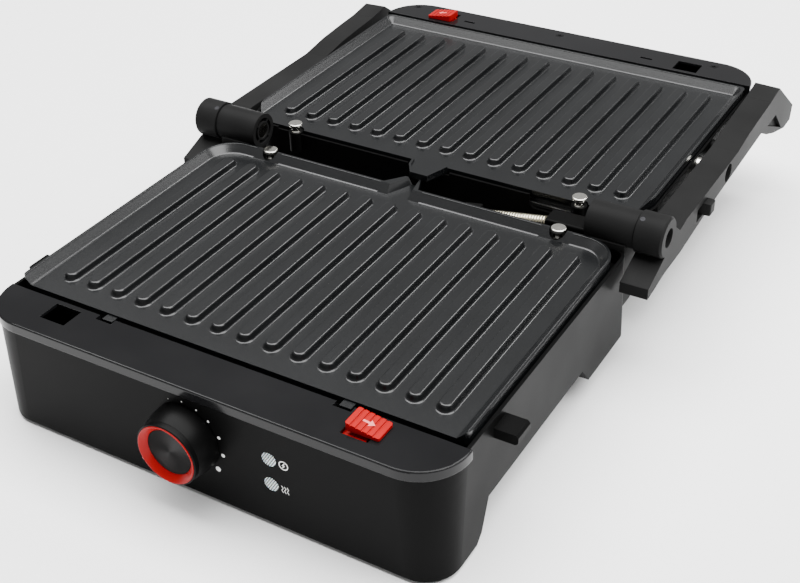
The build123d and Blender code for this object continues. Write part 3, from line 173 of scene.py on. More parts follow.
textured_abs = moulded("black_abs_fine_texture", "#080808", "#0b0b0b", 0.4, 0.7, 0.025, shine=0.03)
gloss_abs = moulded("black_abs_polished", "#101011", "#141415", 0.12, 3.0, 0.01, shine=0.16)
arm_nylon = moulded("black_glass_filled_nylon", "#191919", "#1f1f1f", 0.44, 0.9, 0.02, 0.7, shine=0.02)
knob_abs = moulded("black_abs_knob", "#060606", "#090909", 0.4, 0.6, 0.03, 0.4, shine=0.06)
red_abs = moulded("red_abs", "#8c0204", "#9c0306", 0.34, 1.2, 0.02, shine=0.12)
black_rubber = moulded("black_rubber", "#161616", "#1c1c1c", 0.75, 0.5, 0.08)
ceramic = moulded("steatite_ceramic", "#dcd6c8", "#e8e3d8", 0.35, 0.6, 0.03)
board_green = moulded("glass_epoxy_board", "#12402a", "#1a5236", 0.4, 0.8, 0.03)
glass_sleeve = moulded("woven_glass_sleeve", "#b9b4a6", "#cfcabd", 0.8, 0.4, 0.1)
print("materials so far:", len(bpy.data.materials))

# %% [markdown]
# The plates are cast aluminium under a sprayed non-stick coat. Three things give it away: an orange-peel
# skin about a millimetre across, a few dull mica flakes, and a dark blue-grey tone that is lighter where the
# coat pools. Voronoi cells make the flakes, fine noise makes the skin, and coarse noise clouds the tone.

# %% Non-stick coat


def non_stick():
    """Coat with an orange-peel skin and a few flakes, which are the brightest cells of a random grid."""
    material, place = new_material("non_stick_coat_on_cast_aluminium")
    skin = add_node(material, "TexNoise", Vector=place, Scale=1 / (1.1 * MM), Detail=4.0)
    cloud = add_node(material, "TexNoise", Vector=place, Scale=1 / (35 * MM), Detail=4.0)
    flake = add_node(material, "TexVoronoi", Vector=place, Scale=1 / (0.9 * MM))
    tone = ramp(material, (cloud, "Fac"), 0.35, 0.7, (linear("#08090a"), linear("#0d0e0f")))
    spots = ramp(material, (flake, "Color"), 0.9, 0.99, (grey(0.0), grey(0.12)))
    mix = add_node(material, "Mix", data_type="RGBA", n0=spots, n6=tone, n7=linear("#33353a"))
    bump = add_node(material, "Bump", Strength=0.15, Distance=0.008 * MM, Height=(skin, "Fac"))
    rough = ramp(material, (skin, "Fac"), 0.3, 0.7, (grey(0.23), grey(0.27)))
    surface(material, Base_Color=(mix, "Result"), Roughness=rough, Normal=(bump, "Normal"), IOR=1.45)
    return material


plate_coat = non_stick()

# %% [markdown]
# Metals differ by how they were made. Drawn tube and rolled sheet have faint lines one way, which is grain
# stretched along an axis, and turned or plated steel has a fine even grain. A metal keeps its full metallic
# value and the default index, and only its colour, roughness and scratches change.

# %% Metals
scratch_depth, metal_edge = 0.02 * MM, 0.25 * MM


def metal(name, dark, light, roughness, grain_mm, stretch=(1, 1, 1)):
    """Metal whose grain is scaled along each axis by the stretch, where less than 1 makes it longer."""
    material, place = new_material(name)
    drawn = add_node(material, "Mapping", Vector=place, Scale=stretch)
    grain = add_node(material, "TexNoise", Vector=(drawn, "Vector"), Scale=1 / (grain_mm * MM), Detail=3.0)
    edge = add_node(material, "Bevel", samples=4, Radius=metal_edge)
    bump = add_node(material, "Bump", Strength=0.4, Distance=scratch_depth, Height=(grain, "Fac"),
                    Normal=(edge, "Normal"))
    tone = ramp(material, (grain, "Fac"), 0.35, 0.65, (linear(dark), linear(light)))
    rough = ramp(material, (grain, "Fac"), 0.3, 0.7, (grey(roughness - 0.04), grey(roughness + 0.06)))
    surface(material, Base_Color=tone, Metallic=1.0, Roughness=rough, Normal=(bump, "Normal"))
    return material


nickel_steel = metal("nickel_plated_turned_steel", "#d2d0c8", "#e8e6e0", 0.16, 0.5)
spring_steel = metal("nickel_plated_spring_wire", "#c9c3ae", "#e6e0cc", 0.24, 0.4)
chromed_steel = metal("chromed_steel_tube", "#d8d9dc", "#e6e7ea", 0.08, 0.6, (0.05, 1, 1))
sheet_steel = metal("rolled_steel_sheet", "#9a9a98", "#adadab", 0.34, 0.5, (0.08, 1, 1))
heater_steel = metal("heat_darkened_steel_tube", "#4e4a46", "#66605a", 0.42, 0.7)
black_screw = metal("black_oxide_steel", "#1b1b1c", "#262628", 0.36, 0.4)
bronze_bush = metal("sintered_bronze", "#8e6a3a", "#a67f49", 0.4, 0.3)
print("materials so far:", len(bpy.data.materials))

# %% [markdown]
# New pieces start as surfaces that a formula draws. A formula gives a grid of points, one helper joins
# neighbouring points into quads, and another puts all the shells of a piece in one mesh, welds the poles
# and turns every face outward. Lengths in the formulas are millimetres, and only the last step makes them
# metres.

# %% Mesh helpers
weld_distance = 0.002


def grid_faces(rows, columns):
    """Quads (i, j) (i, j+1) (i+1, j+1) (i+1, j) of a grid of points whose columns close on themselves."""
    i, j = np.meshgrid(np.arange(rows - 1), np.arange(columns), indexing="ij")
    after = (j + 1) % columns
    quads = [i * columns + j, i * columns + after, (i + 1) * columns + after, (i + 1) * columns + j]
    return np.stack(quads, axis=-1).reshape(-1, 4)


def make_mesh(name, shells):
    """One mesh from closed shells (points, quads), in metres, with welded poles and outward faces."""
    counts = np.cumsum([0] + [len(points) for points, _ in shells])
    points = np.concatenate([points for points, _ in shells]) * MM
    quads = np.concatenate([quads + start for (_, quads), start in zip(shells, counts)])
    mesh = bpy.data.meshes.new(name)
    mesh.vertices.add(len(points))
    mesh.vertices.foreach_set("co", points.ravel())
    mesh.loops.add(quads.size)
    mesh.loops.foreach_set("vertex_index", quads.ravel())
    mesh.polygons.add(len(quads))
    mesh.polygons.foreach_set("loop_start", np.arange(len(quads)) * 4)
    mesh.update(calc_edges=True)
    work = bmesh.new()
    work.from_mesh(mesh)
    bmesh.ops.remove_doubles(work, verts=work.verts, dist=weld_distance * MM)
    bmesh.ops.recalc_face_normals(work, faces=work.faces)
    work.to_mesh(mesh)
    work.free()
    mesh.shade_smooth()
    return mesh


def add_piece(name, shells, body, material, replaced=None, crease=40.0):
    """Puts a piece on its body, with its material, and keeps edges past the crease angle."""
    piece = bpy.data.objects.new(name, make_mesh(name, shells))
    bpy.context.scene.collection.objects.link(piece)
    piece.data.set_sharp_from_angle(angle=math.radians(crease))
    piece.data.materials.append(material)
    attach(piece, body)
    if replaced:
        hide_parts(replaced)
    print(f"{name}: {len(shells)} shells, {len(piece.data.polygons)} faces")


def lathe(profile, centre, out=(0, 0, 1), across=(1, 0, 0), turns=48):
    """A profile (radius, height) turned about an axis: centre + height out + radius (u cos t + v sin t)."""
    turn = np.linspace(0, 2 * np.pi, turns, endpoint=False)
    out, across = np.array(out, dtype=float), np.array(across, dtype=float)
    radius, height = np.array(profile, dtype=float).T
    spoke = np.cos(turn)[:, None] * across + np.sin(turn)[:, None] * np.cross(out, across)
    points = np.array(centre) + height[:, None, None] * out + radius[:, None, None] * spoke
    return points.reshape(-1, 3), grid_faces(len(radius), turns)


def arc(middle, radius, start, end, steps=8):
    """Points (x, y) on a circle about a middle, between two angles in degrees."""
    turn = np.radians(np.linspace(start, end, steps))
    return np.stack([middle[0] + radius * np.cos(turn), middle[1] + radius * np.sin(turn)], axis=-1)


def sweep(path, side, section):
    """A closed section (a, b) carried along a path: p + a side + b (tangent x side), with pointed ends."""
    path, side, section = np.array(path), np.array(side), np.array(section)
    tangent = np.gradient(path, axis=0)
    tangent /= np.linalg.norm(tangent, axis=1)[:, None]
    side = side - (side * tangent).sum(axis=1)[:, None] * tangent
    side /= np.linalg.norm(side, axis=1)[:, None]
    other = np.cross(tangent, side)
    rings = path[:, None] + section[:, 0, None] * side[:, None] + section[:, 1, None] * other[:, None]
    ends = [np.repeat(path[[k]], len(section), axis=0)[None] for k in (0, -1)]
    rings = np.concatenate([ends[0], rings, ends[1]])
    return rings.reshape(-1, 3), grid_faces(len(rings), len(section))


# %% [markdown]
# The front wall leans by less than a millimetre over its height, so everything printed or mounted on it
# asks one function where the wall is. Print is ink a few hundredths of a millimetre thick. It is drawn as
# thin solid shapes rather than as a picture, so that it stays sharp at any distance.

# %% Marks printed on the front
white_ink = moulded("white_pad_print_ink", "#e4e5e2", "#f2f2f0", 0.5, 0.3, 0.02, 0.02)
wall_top, wall_height, wall_lean, wall_front = 75.2, 72.7, 0.7, -236.2
ink, dot_edge = 0.06, 0.04
knob_x, knob_z = -5.3, 41.4
dot_circle_x, dot_circle_z, dot_circle_radius = knob_x - 0.8, knob_z - 1.0, 24.0
power_spot, heat_spot = (56.6, 47.2), (56.2, 30.3)
mark_radius, ring_line, bolt_line, wave_line = 2.6, 0.6, 0.55, 0.34


def wall_y(height):
    """Y of the front wall at a height: front + lean (top - height) / wall height."""
    return wall_front + wall_lean * (wall_top - np.asarray(height)) / wall_height


def on_wall(x, z, proud=0.0):
    """Points that far in front of the wall."""
    x, z = np.broadcast_arrays(np.asarray(x, dtype=float), np.asarray(z, dtype=float))
    return np.stack([x, wall_y(z) - proud, z], axis=-1)


def stroke(x, z, width):
    """A printed line of that width through points on the wall."""
    path = on_wall(x, z, ink / 2)
    across = np.gradient(path, axis=0)
    side = np.stack([across[:, 2], np.zeros(len(path)), -across[:, 0]], axis=-1)
    section = [(-width / 2, -ink), (width / 2, -ink), (width / 2, ink / 2), (-width / 2, ink / 2)]
    return sweep(path, side, section)


def scale_dots():
    """Seven flat discs on a circle about the knob, growing along it from 0.6 to 3.2 mm across."""
    angles = np.radians([110.6, 88.7, 66.1, 45.8, 20.6, -7.5, -37.0])
    radii = np.array([0.3, 0.45, 0.6, 0.75, 0.95, 1.15, 1.6])
    dots = []
    for angle, radius in zip(angles, radii):
        x = dot_circle_x + dot_circle_radius * np.cos(angle)
        z = dot_circle_z + dot_circle_radius * np.sin(angle)
        profile = [(0, -ink), (radius, -ink), (radius, ink / 2), (radius - dot_edge, ink), (0, ink)]
        dots.append(lathe(profile, on_wall(x, z), (0, -1, 0), turns=40))
    return dots


def power_mark(x, z):
    """A ring with a bolt in it: a circle, and a broken line of three strokes drawn as one."""
    turn = np.linspace(0, 2 * np.pi, 49)
    ring = stroke(x + mark_radius * np.cos(turn), z + mark_radius * np.sin(turn), ring_line)
    corners = np.array([(0.7, 1.6), (-0.7, -0.1), (0.7, 0.1), (-0.7, -1.6)])
    along = np.linspace(0, 3, 31)
    across = np.interp(along, range(4), corners[:, 0])
    up = np.interp(along, range(4), corners[:, 1])
    return [ring, stroke(x + across, z + up, bolt_line)]


def heat_mark(x, z):
    """Three waves that rise, 1.7 mm apart: x shifts by 0.4 sin(2 h), where h is the height."""
    rise = np.linspace(-2.3, 2.3, 33)
    wave = 0.4 * np.sin(rise * 2.0)
    return [stroke(x + shift + wave, z + rise, wave_line) for shift in (-1.7, 0.0, 1.7)]


add_piece("knob_scale_dots", scale_dots(), "base", white_ink)
add_piece("power_mark", power_mark(*power_spot), "base", white_ink)
add_piece("heat_mark", heat_mark(*heat_spot), "base", white_ink)

# %% [markdown]
# A lamp lens is a clear cap with slanting ribs moulded in its dome, which spread the light of the small lamp
# behind it. Unlit, such a cap looks milky white, and its colour carries painted shade as grey bands between
# its ribs. The dome is a grid of radius and angle, and the ribs are a sine across the slant added to its
# height. The ribs are drawn a little coarser than the real ones, which stand just under a millimetre apart,
# so that they still show from a distance.

# %% Lamp lenses
lamp_x, lamp_heights, lamp_radius = 47.5, (30.5, 47.4), 4.4
lens_dome, lens_sunk, collar_depth = 1.5, 0.1, 1.5
lens_rib_spacing, lens_rib_height, lens_rib_turn = 1.25, 0.15, -31.5
lens_rib_across, lens_rib_up = 0.853, -0.522


def lens(z):
    """Dome 1.5 (1 - (r/R)^2) - 0.1 plus ribs 0.15 sin(k (0.853 x - 0.522 z)), which fade out at the rim.

    A collar runs from the rim into the wall.
    """
    turn = np.linspace(0, 2 * np.pi, 96, endpoint=False)
    radius = np.concatenate([[0, lamp_radius], np.linspace(lamp_radius, 0, 40)])
    share = radius / lamp_radius
    dome = -lens_sunk + lens_dome * (1 - share ** 2)
    x = radius[:, None] * np.cos(turn)
    up = radius[:, None] * np.sin(turn)
    slant = lens_rib_across * x + lens_rib_up * up
    fade = np.clip(4 * (1 - share), 0, 1)
    rib = lens_rib_height * np.sin(2 * np.pi * slant / lens_rib_spacing) * fade[:, None]
    proud = np.where(np.arange(len(radius))[:, None] < 2, -collar_depth, dome[:, None] + rib)
    centre = on_wall(lamp_x, z)
    points = np.stack([centre[0] + x, centre[1] - proud, centre[2] + up], axis=-1)
    return points.reshape(-1, 3), grid_faces(len(radius), len(turn))


def lens_plastic():
    """Milky clear plastic: a quarter of the light passes into it and comes back white.

    Its colour is greyed in bands between the ribs by painted shade.
    """
    material, place = new_material("frosted_clear_polycarbonate")
    slant = add_node(material, "Mapping", Vector=place, Rotation=(0.0, math.radians(lens_rib_turn), 0.0))
    painted_rib_shade = add_node(material, "TexWave", Vector=(slant, "Vector"), wave_type="BANDS", bands_direction="X",
                    Scale=math.pi / 10 / (lens_rib_spacing * MM), Distortion=0.1)
    # The dark end of this ramp is painted shade that greys the lens between its ribs.
    tone = ramp(material, (painted_rib_shade, "Fac"), 0.3, 0.6, (linear("#2c2f2f"), linear("#e4e6e4")))
    edge = add_node(material, "Bevel", samples=4, Radius=0.15 * MM)
    surface(material, Base_Color=tone, Roughness=0.28, Normal=(edge, "Normal"), IOR=1.58,
            Subsurface_Weight=0.25, Coat_Weight=0.3, Coat_Roughness=0.05)
    return material


milky_lens = lens_plastic()
lens_caps = [lens(z) for z in lamp_heights]
add_piece("lamp_lens_caps", lens_caps, "base", milky_lens, "lamp_lenses")

# %% [markdown]
# The disc in the knob is aluminium that was spun against a tool, then stained dark. The tool leaves fine
# rings, and rings stretch a highlight into two bright fans. The rings are a ring wave on coordinates that
# start at the knob's axis, drawn coarser than the real ones. The fans come from anisotropy with a tangent
# that runs round the same axis. The disc sits at the bottom of a dished red ring, and the ring in a sleeve.

# %% Disc, ring and sleeve of the knob
knob_face = -254.27
ring_seat, disc_seat = knob_face + 0.6, knob_face + 3.3
disc_radius, disc_round, disc_dip, disc_depth = 14.0, 0.3, 0.3, 1.5
nub_turn, nub_circle, nub_radius, nub_sunk, nub_depth = 208, 18.0, 1.15, 0.6, 3.5


def spun_disc():
    """Lathed disc: a face that dips 0.3 mm towards its middle by a cosine, with a rim rounded by 0.3."""
    face = disc_radius - disc_round
    radius = np.linspace(0, face, 40)
    height = disc_dip * (1 - np.cos(np.pi * radius / face)) / 2 - disc_dip
    rim = arc((face, -disc_round), disc_round, 90, 0, 8)
    back = [(disc_radius, -disc_depth), (0, -disc_depth)]
    profile = np.concatenate([np.stack([radius, height], axis=-1), rim, back])
    return lathe(profile, (knob_x, disc_seat, knob_z), (0, -1, 0), turns=128)


def spun_aluminium():
    """Stained aluminium whose colour and height follow rings 0.5 mm apart about the knob's axis."""
    material, place = new_material("dark_stained_spun_aluminium")
    centred = add_node(material, "Mapping", Vector=place, Location=(-knob_x * MM, 0.0, -knob_z * MM))
    rings = add_node(material, "TexWave", Vector=(centred, "Vector"), wave_type="RINGS", rings_direction="Y",
                     Scale=math.pi / 10 / (0.5 * MM), Distortion=0.6, Detail=2.0)
    cloud = add_node(material, "TexNoise", Vector=place, Scale=1 / (6 * MM), Detail=3.0)
    bump = add_node(material, "Bump", Strength=0.35, Distance=0.02 * MM, Height=(rings, "Fac"))
    tone = ramp(material, (rings, "Fac"), 0.2, 0.8, (linear("#0e0e0e"), linear("#1a1a1a")))
    rough = ramp(material, (cloud, "Fac"), 0.3, 0.7, (grey(0.46), grey(0.52)))
    along = add_node(material, "Tangent", direction_type="RADIAL", axis="Y")
    surface(material, Base_Color=tone, Metallic=1.0, Roughness=rough, Normal=(bump, "Normal"),
            Tangent=(along, "Tangent"), Anisotropic=0.92)
    return material


def dished_ring():
    """Profile: outer side 4 mm deep, lip rounded by 0.4, cone falling 3.1 mm inward to the disc's edge."""
    lip = arc((17.65, 0.15), 0.4, 0, 120, 9)
    inside = [(14.2, -2.6), (14.0, -2.9), (14.0, -3.9)]
    profile = np.concatenate([[(14.0, -3.9), (18.05, -3.9)], lip, inside])
    return lathe(profile, (knob_x, ring_seat, knob_z), (0, -1, 0), turns=128)


def pointer_nub():
    """Small post on the rim at 208 degrees, domed by half a ball: r cos t and r sin t."""
    turn = np.radians(nub_turn)
    spot = (knob_x + nub_circle * np.cos(turn), ring_seat, knob_z + nub_circle * np.sin(turn))
    share = np.radians(np.linspace(0, 90, 8))
    dome = np.stack([nub_radius * np.cos(share), -nub_sunk + nub_radius * np.sin(share)], axis=-1)
    profile = np.concatenate([[(0, -nub_depth), (nub_radius, -nub_depth)], dome])
    return lathe(profile, spot, (0, -1, 0), turns=32)


def knob_sleeve():
    """Profile: straight side at 18.95, front edge rounded by 0.6, then a step down to the ring."""
    edge = arc((18.35, -0.55), 0.6, 0, 110, 9)
    profile = np.concatenate([[(18.0, -4.05), (18.95, -4.05)], edge, [(18.0, -0.2), (18.0, -4.05)]])
    return lathe(profile, (knob_x, ring_seat, knob_z), (0, -1, 0), turns=128)


dark_disc = spun_aluminium()
add_piece("knob_disc", [spun_disc()], "knob", dark_disc, "knob_cap")
add_piece("knob_red_ring", [dished_ring(), pointer_nub()], "knob", red_abs, "knob_ring")
add_piece("knob_sleeve_edge", [knob_sleeve()], "knob", knob_abs)

# %% [markdown]
# Each red slider carries an arrow that says which way to push it, printed pale on its ribbed top. The top
# leans, so the arrow's points are laid on that slope and lie a little above the ribs.

# %% Arrows on the sliders
slider_middle_y = {"lower": -217.9, "upper": 221.0}
slider_x = {"lower": 97.3, "upper": -102.8}
slider_top = {"lower": 75.2, "upper": 87.5}
slider_high, slider_low, slider_length = 5.0, 2.0, 19.4
arrow_bottom, arrow_top = -0.3, 0.08


def arrow(which, way):
    """Shaft and head of an arrow on the slope height = middle - x fall, way telling which end is high.

    Each is four rings of points: a middle and an outline below the ribs, an outline and a middle above.
    """
    fall = (slider_high - slider_low) / slider_length
    shaft = np.array([(-3.2, -0.7), (-3.2, 0.7), (0.6, 0.7), (0.6, -0.7)])
    head = np.array([(0.6, -2.3), (0.6, 2.3), (3.6, 0.05), (3.6, -0.05)])
    shells = []
    for outline in (shaft, head):
        layers = []
        for lift, scales in ((arrow_bottom, (0, 1)), (arrow_top, (1, 0))):
            for scale in scales:
                flat = outline.mean(axis=0) + scale * (outline - outline.mean(axis=0))
                x = way * flat[:, 0] + slider_x[which]
                y = way * flat[:, 1] + slider_middle_y[which]
                z = (slider_high + slider_low) / 2 - flat[:, 0] * fall + lift
                layers.append(np.stack([x, y, z + slider_top[which]], axis=-1))
        shells.append((np.concatenate(layers), grid_faces(4, 4)))
    return shells


pale_ink = moulded("pale_pink_pad_print_ink", "#d8605c", "#e07672", 0.45, 0.3, 0.02, 0.02)
add_piece("lower_slider_arrow", arrow("lower", 1), "lower_release", pale_ink)
add_piece("upper_slider_arrow", arrow("upper", -1), "upper_release", pale_ink)

# %% [markdown]
# Each rib of the cast plates runs out into the plate in a hollow curve, because a sharp corner would crack
# in casting and hold fat. The curve catches a thin bright line along the foot of the rib, like the one on
# its crest. It is a strip with a concave section, carried round the rib's outline, which is two lines and
# two half circles. The strip reaches a little way into rib and plate, so that no gap shows.

# %% Hollow curves at the feet of the ribs
rib_count, rib_pitch, rib_width, rib_slope = 15, 17.5, 9.6, math.radians(17.0)
lower_rib_ends, upper_rib_ends = (-190.5, -30.0), (33.8, 191.8)
lower_field_z, upper_field_z = 75.0, 81.7
foot_curve, foot_sunk, half_circle_steps = 1.5, 0.3, 17


def rib_foot(x, near, far, z):
    """Outline point + d outward + h up, with (d, h) on an arc that touches the plate and the rib's side."""
    reach = foot_curve * math.tan((math.pi / 2 - rib_slope) / 2)
    hollow = arc((reach, foot_curve), foot_curve, -90, -180 + math.degrees(rib_slope), 9)
    inside = [(hollow[-1, 0] - foot_sunk, hollow[-1, 1]), (-0.4, -foot_sunk), (reach, -foot_sunk)]
    section = np.concatenate([hollow, inside])
    far_turn, near_turn = (np.linspace(start, start + 180, half_circle_steps) for start in (0, 180))
    bend = np.radians(np.concatenate([far_turn, near_turn, [0]]))
    way = np.stack([np.cos(bend), np.sin(bend), 0 * bend], axis=-1)
    half = rib_width / 2
    middle = np.where(np.arange(len(bend)) < half_circle_steps, far - half, near + half)
    middle[-1] = far - half
    line = np.stack([x + half * way[:, 0], middle + half * way[:, 1], z + 0 * bend], axis=-1)
    rings = line[:, None] + section[:, 0, None] * way[:, None] + section[:, 1, None] * np.array([0, 0, 1.0])
    return rings.reshape(-1, 3), grid_faces(len(rings), len(section))


rib_x = rib_pitch * (np.arange(rib_count) - (rib_count - 1) / 2)
lower_feet = [rib_foot(x, *lower_rib_ends, lower_field_z) for x in rib_x]
upper_feet = [rib_foot(x, *upper_rib_ends, upper_field_z) for x in rib_x]
add_piece("lower_rib_feet", lower_feet, "base", plate_coat)
add_piece("upper_rib_feet", upper_feet, "lid", plate_coat)

# %% [markdown]
# The rim of each plate has the same soft casting: a hollow curve where its slope meets the plate, and a
# crest that is rounded and a little thick with coat. Both are drawn as thin strips along one path, which
# runs up one side, round the corners and down the other. Where something interrupts the far side of the rim,
# such as a stud, the path is cut.

# %% Hollow curve and crest of the rims
rim_half, rim_rise, path_step = 138.0, 5.0, 2.0
rim_curve, crest_curve = 2.0, 0.45
rim_gaps = [(-113, -95), (-18, 10), (95, 113)]


def rim_path(spread, start, far, corner, z):
    """Side, quarter circle, far side, quarter circle, side: the field's outline moved out by the spread."""
    half, far, corner = rim_half + spread, far + spread, corner + spread
    side = np.arange(start, far - corner, path_step)
    right = np.stack([half + 0 * side, side], axis=-1)
    bends = [arc((sign * (half - corner), far - corner), corner, *turn, 14)
             for sign, turn in ((1, (0, 90)), (-1, (90, 180)))]
    across = np.arange(half - corner - 1, corner - half, -path_step)
    middle = np.stack([across, far + 0 * across], axis=-1)
    flat = np.concatenate([right, bends[0], middle, bends[1], right[::-1] * (-1, 1)])
    return np.column_stack([flat, np.full(len(flat), z)])


def kept_runs(path, gaps):
    """Runs of the path that stay clear of the gaps (x from, x to) in its far side."""
    far_side = path[:, 1] > path[:, 1].max() - 3
    cut = np.zeros(len(path), dtype=bool)
    for low, high in gaps:
        cut |= far_side & (path[:, 0] > low) & (path[:, 0] < high)
    edges = np.flatnonzero(np.diff(cut)) + 1
    return [run for run, dropped in zip(np.split(path, edges), np.split(cut, edges)) if not dropped[0]]


def rim_lines(start, crest_start, far, corner, z, gaps=()):
    """Concave strip along the foot of the slope and round strip along its crest.

    The slope rises at 45 degrees, so an arc of radius r leaves the plate r tan 22.5 degrees before it.
    """
    hollow = arc((-0.83, rim_curve), rim_curve, -90, -45, 7)[:, ::-1]
    foot = np.concatenate([hollow, [(0.3, 0.75), (-0.3, 0.3), (-0.3, -0.7)]])
    crest = arc((-0.36, 0.05), crest_curve, 0, 330, 12)
    foot_path = rim_path(0, start, far, corner, z)
    crest_path = rim_path(rim_rise, crest_start, far, corner, z + rim_rise)
    shells = [sweep(run, (0, 0, 1.0), foot) for run in kept_runs(foot_path, gaps)]
    return shells + [sweep(run, (0, 0, 1.0), crest) for run in kept_runs(crest_path, gaps)]


lower_rim = rim_lines(-203.0, -202.0, far=-19.0, corner=15.5, z=lower_field_z, gaps=rim_gaps)
upper_rim = rim_lines(26.0, 33.0, far=202.8, corner=1.0, z=upper_field_z)
add_piece("lower_rim_lines", lower_rim, "base", plate_coat)
add_piece("upper_rim_lines", upper_rim, "lid", plate_coat)

# %% [markdown]
# The studs that steady the plates are turned on a lathe: a foot, a waist and a head with a rounded rim. A
# lathe profile is all they need, with enough points on the rim to bend a highlight round it.

# %% Studs
stud_x, stud_head = 104.0, 2.2
lower_stud_y, lower_stud_seat = -13.2, 75.2
upper_stud_y, upper_stud_seat = 16.6, 81.0


def stud(x, y, seat, top):
    """Radii: foot 3.4, waist by a sine to about 2.9, flare to 4.7, rim rounded by 0.7. Face domed 0.15."""
    span = top - stud_head - seat
    share = np.linspace(0, 1, 16)
    radius = 3.4 - 0.5 * np.sin(np.pi * share) + 0.9 * share ** 4
    neck = np.stack([radius, seat + span * share], axis=-1)
    rim_low = arc((4.3, top - 1.8), 0.4, -90, 0, 6)
    rim_high = arc((4.0, top - 0.85), 0.7, 0, 90, 10)
    face = np.stack([np.linspace(4.0, 0, 8), top - 0.15 + 0.15 * (1 - np.linspace(1, 0, 8) ** 2)], axis=-1)
    profile = np.concatenate([[(0, seat - 1), (3.4, seat - 1)], neck, rim_low, rim_high, face])
    return lathe(profile, (x, y, 0), turns=64)


lower_top, upper_top = ((np.array(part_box(name)[1]) / MM)[2] for name in ("lower_studs", "upper_studs"))
lower_pair = [stud(side * stud_x, lower_stud_y, lower_stud_seat, lower_top) for side in (-1, 1)]
upper_pair = [stud(side * stud_x, upper_stud_y, upper_stud_seat, upper_top) for side in (-1, 1)]
add_piece("plate_studs_lower", lower_pair, "base", nickel_steel, "lower_studs")
add_piece("plate_studs_upper", upper_pair, "lid", nickel_steel, "upper_studs")

# %% [markdown]
# A coil spring guards the wires where they cross from the base to the hinge. It is one round wire wound on a
# rod, so it is a helix with a circle carried along it. The circle needs a steady sideways direction, and the
# spoke from the spring's axis is one that never turns with the tangent.

# %% Spring round the wires
spring_end = np.array([93.0, 2.0, 73.0])
spring_dip, spring_sweep = math.radians(5.0), math.radians(8.0)
spring_lead, spring_pitch, spring_radius, wire_radius, spring_coils = 0.7, 1.75, 3.4, 0.62, 26


def spring():
    """Helix (-pitch t, r cos 2 pi t, r sin 2 pi t), turned down and forward about its right end."""
    turns = np.linspace(0, spring_coils, spring_coils * 20 + 1)
    spoke = np.stack([0 * turns, np.cos(2 * np.pi * turns), np.sin(2 * np.pi * turns)], axis=-1)
    along = np.stack([-spring_lead - spring_pitch * turns, 0 * turns, 0 * turns], axis=-1)
    path = spring_radius * spoke + along
    around = np.array(Matrix.Rotation(spring_sweep, 3, "Z") @ Matrix.Rotation(-spring_dip, 3, "Y"))
    bend = np.radians(np.arange(0, 360, 36))
    section = wire_radius * np.stack([np.cos(bend), np.sin(bend)], axis=-1)
    return sweep(path @ around.T + spring_end, spoke @ around.T, section)


add_piece("wire_guard_spring", [spring()], "base", spring_steel, "wire_conduit", crease=80.0)

# %% [markdown]
# Every node of the model now gets the finish of the piece it stands for. A table from node to finish says it
# once, and the loop after it stops with an error at a node that the table leaves out. A node that a piece of
# this lesson replaced gets the finish of that piece.

# %% Finishes of the model's own nodes
FINISH = {
    "base_housing": textured_abs, "bottom_cover": textured_abs, "lid_frame": textured_abs,
    "lid_dome": textured_abs, "hinge_block": textured_abs, "conduit_socket": textured_abs,
    "cord_gland": black_rubber, "base_strip": gloss_abs, "lid_strip": gloss_abs,
    "right_arm": arm_nylon, "left_arm": arm_nylon, "right_arm_grip": arm_nylon, "left_arm_grip": arm_nylon,
    "right_hinge_barrel": arm_nylon, "left_hinge_barrel": arm_nylon, "release_peg": arm_nylon,
    "knob_body": knob_abs, "knob_ring": red_abs, "knob_cap": dark_disc,
    "lower_slider": red_abs, "upper_slider": red_abs,
    "lower_plate": plate_coat, "upper_plate": plate_coat,
    "lower_tray": sheet_steel, "upper_tray": sheet_steel,
    "lower_heater": heater_steel, "upper_heater": heater_steel,
    "lower_studs": nickel_steel, "upper_studs": nickel_steel, "pivot_pins": nickel_steel,
    "hub_pins": black_screw, "right_hinge_shaft": nickel_steel, "left_hinge_shaft": nickel_steel,
    "knob_shaft": nickel_steel, "thermostat_nut": nickel_steel, "wire_conduit": spring_steel,
    "handle_tube": chromed_steel, "cover_screws": black_screw, "lid_screws": black_screw,
    "rubber_feet": black_rubber, "lid_pads": black_rubber, "wire_core": glass_sleeve,
    "right_hub_bush": bronze_bush, "left_hub_bush": bronze_bush, "thermostat": ceramic,
    "terminal_block": ceramic, "lamp_board": board_green, "lamp_lenses": milky_lens,
}
for node_name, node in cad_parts.items():
    node.data.materials.clear()
    node.data.materials.append(FINISH[node_name])
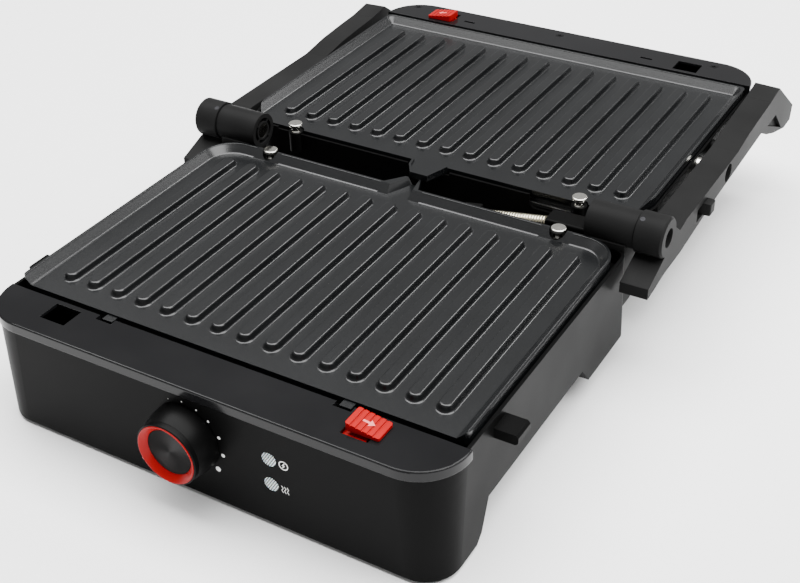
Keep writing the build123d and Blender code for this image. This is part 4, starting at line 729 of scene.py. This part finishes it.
print("finished nodes:", len(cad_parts))

# %% [markdown]
# A product photo of a black thing is made by what it reflects. A wide soft light overhead shapes the
# slopes, a small one at the back draws the crests of the ribs, a weak one from the right lifts the side, and
# a pale floor fills in from below. Each light has a place, a point it faces, a size and a power in watts.

# %% Floor and lights
floor_reach, world_strength = 6.0, 0.5
LIGHTS = {
    "overhead": ((0.2, 0.22, 2.2), (0.2, 0.22, 0), (4.4, 1.9), 280),
    "edge": ((0.55, 1.5, 1.6), (0, 0, 0.05), (0.45, 0.7), 19),
    "right": ((1.8, 0.5, 0.8), (0, 0, 0.05), (0.9, 1.0), 5),
}


def make_floor():
    """Flat pale floor at height 0."""
    data = bpy.data.meshes.new("floor")
    corners = [(x * floor_reach, y * floor_reach, 0) for x, y in ((-1, -1), (1, -1), (1, 1), (-1, 1))]
    data.from_pydata(corners, [], [(0, 1, 2, 3)])
    floor = bpy.data.objects.new("floor", data)
    bpy.context.scene.collection.objects.link(floor)
    material, place = new_material("pale_painted_floor")
    cloud = add_node(material, "TexNoise", Vector=place, Scale=3.0, Detail=2.0)
    tone = ramp(material, (cloud, "Fac"), 0.3, 0.7, (linear("#fbfbfb"), linear("#fdfdfd")))
    surface(material, Base_Color=tone, Roughness=0.7)
    data.materials.append(material)


def make_light(name, spot, target, size, power):
    """Rectangular area light that faces a target."""
    data = bpy.data.lights.new(name, "AREA")
    data.shape = "RECTANGLE"
    data.size, data.size_y = size
    data.energy = power
    light = bpy.data.objects.new(name, data)
    bpy.context.scene.collection.objects.link(light)
    light.location = spot
    light.rotation_mode = "QUATERNION"
    light.rotation_quaternion = (Vector(target) - Vector(spot)).to_track_quat("-Z", "Y")


make_floor()
for light_name, settings in LIGHTS.items():
    make_light(light_name, *settings)
world = bpy.data.worlds.new("studio")
bpy.context.scene.world = world
world.use_nodes = True
world.node_tree.nodes["Background"].inputs["Color"].default_value = linear("#ffffff")
world.node_tree.nodes["Background"].inputs["Strength"].default_value = world_strength
print("lights:", ", ".join(LIGHTS))
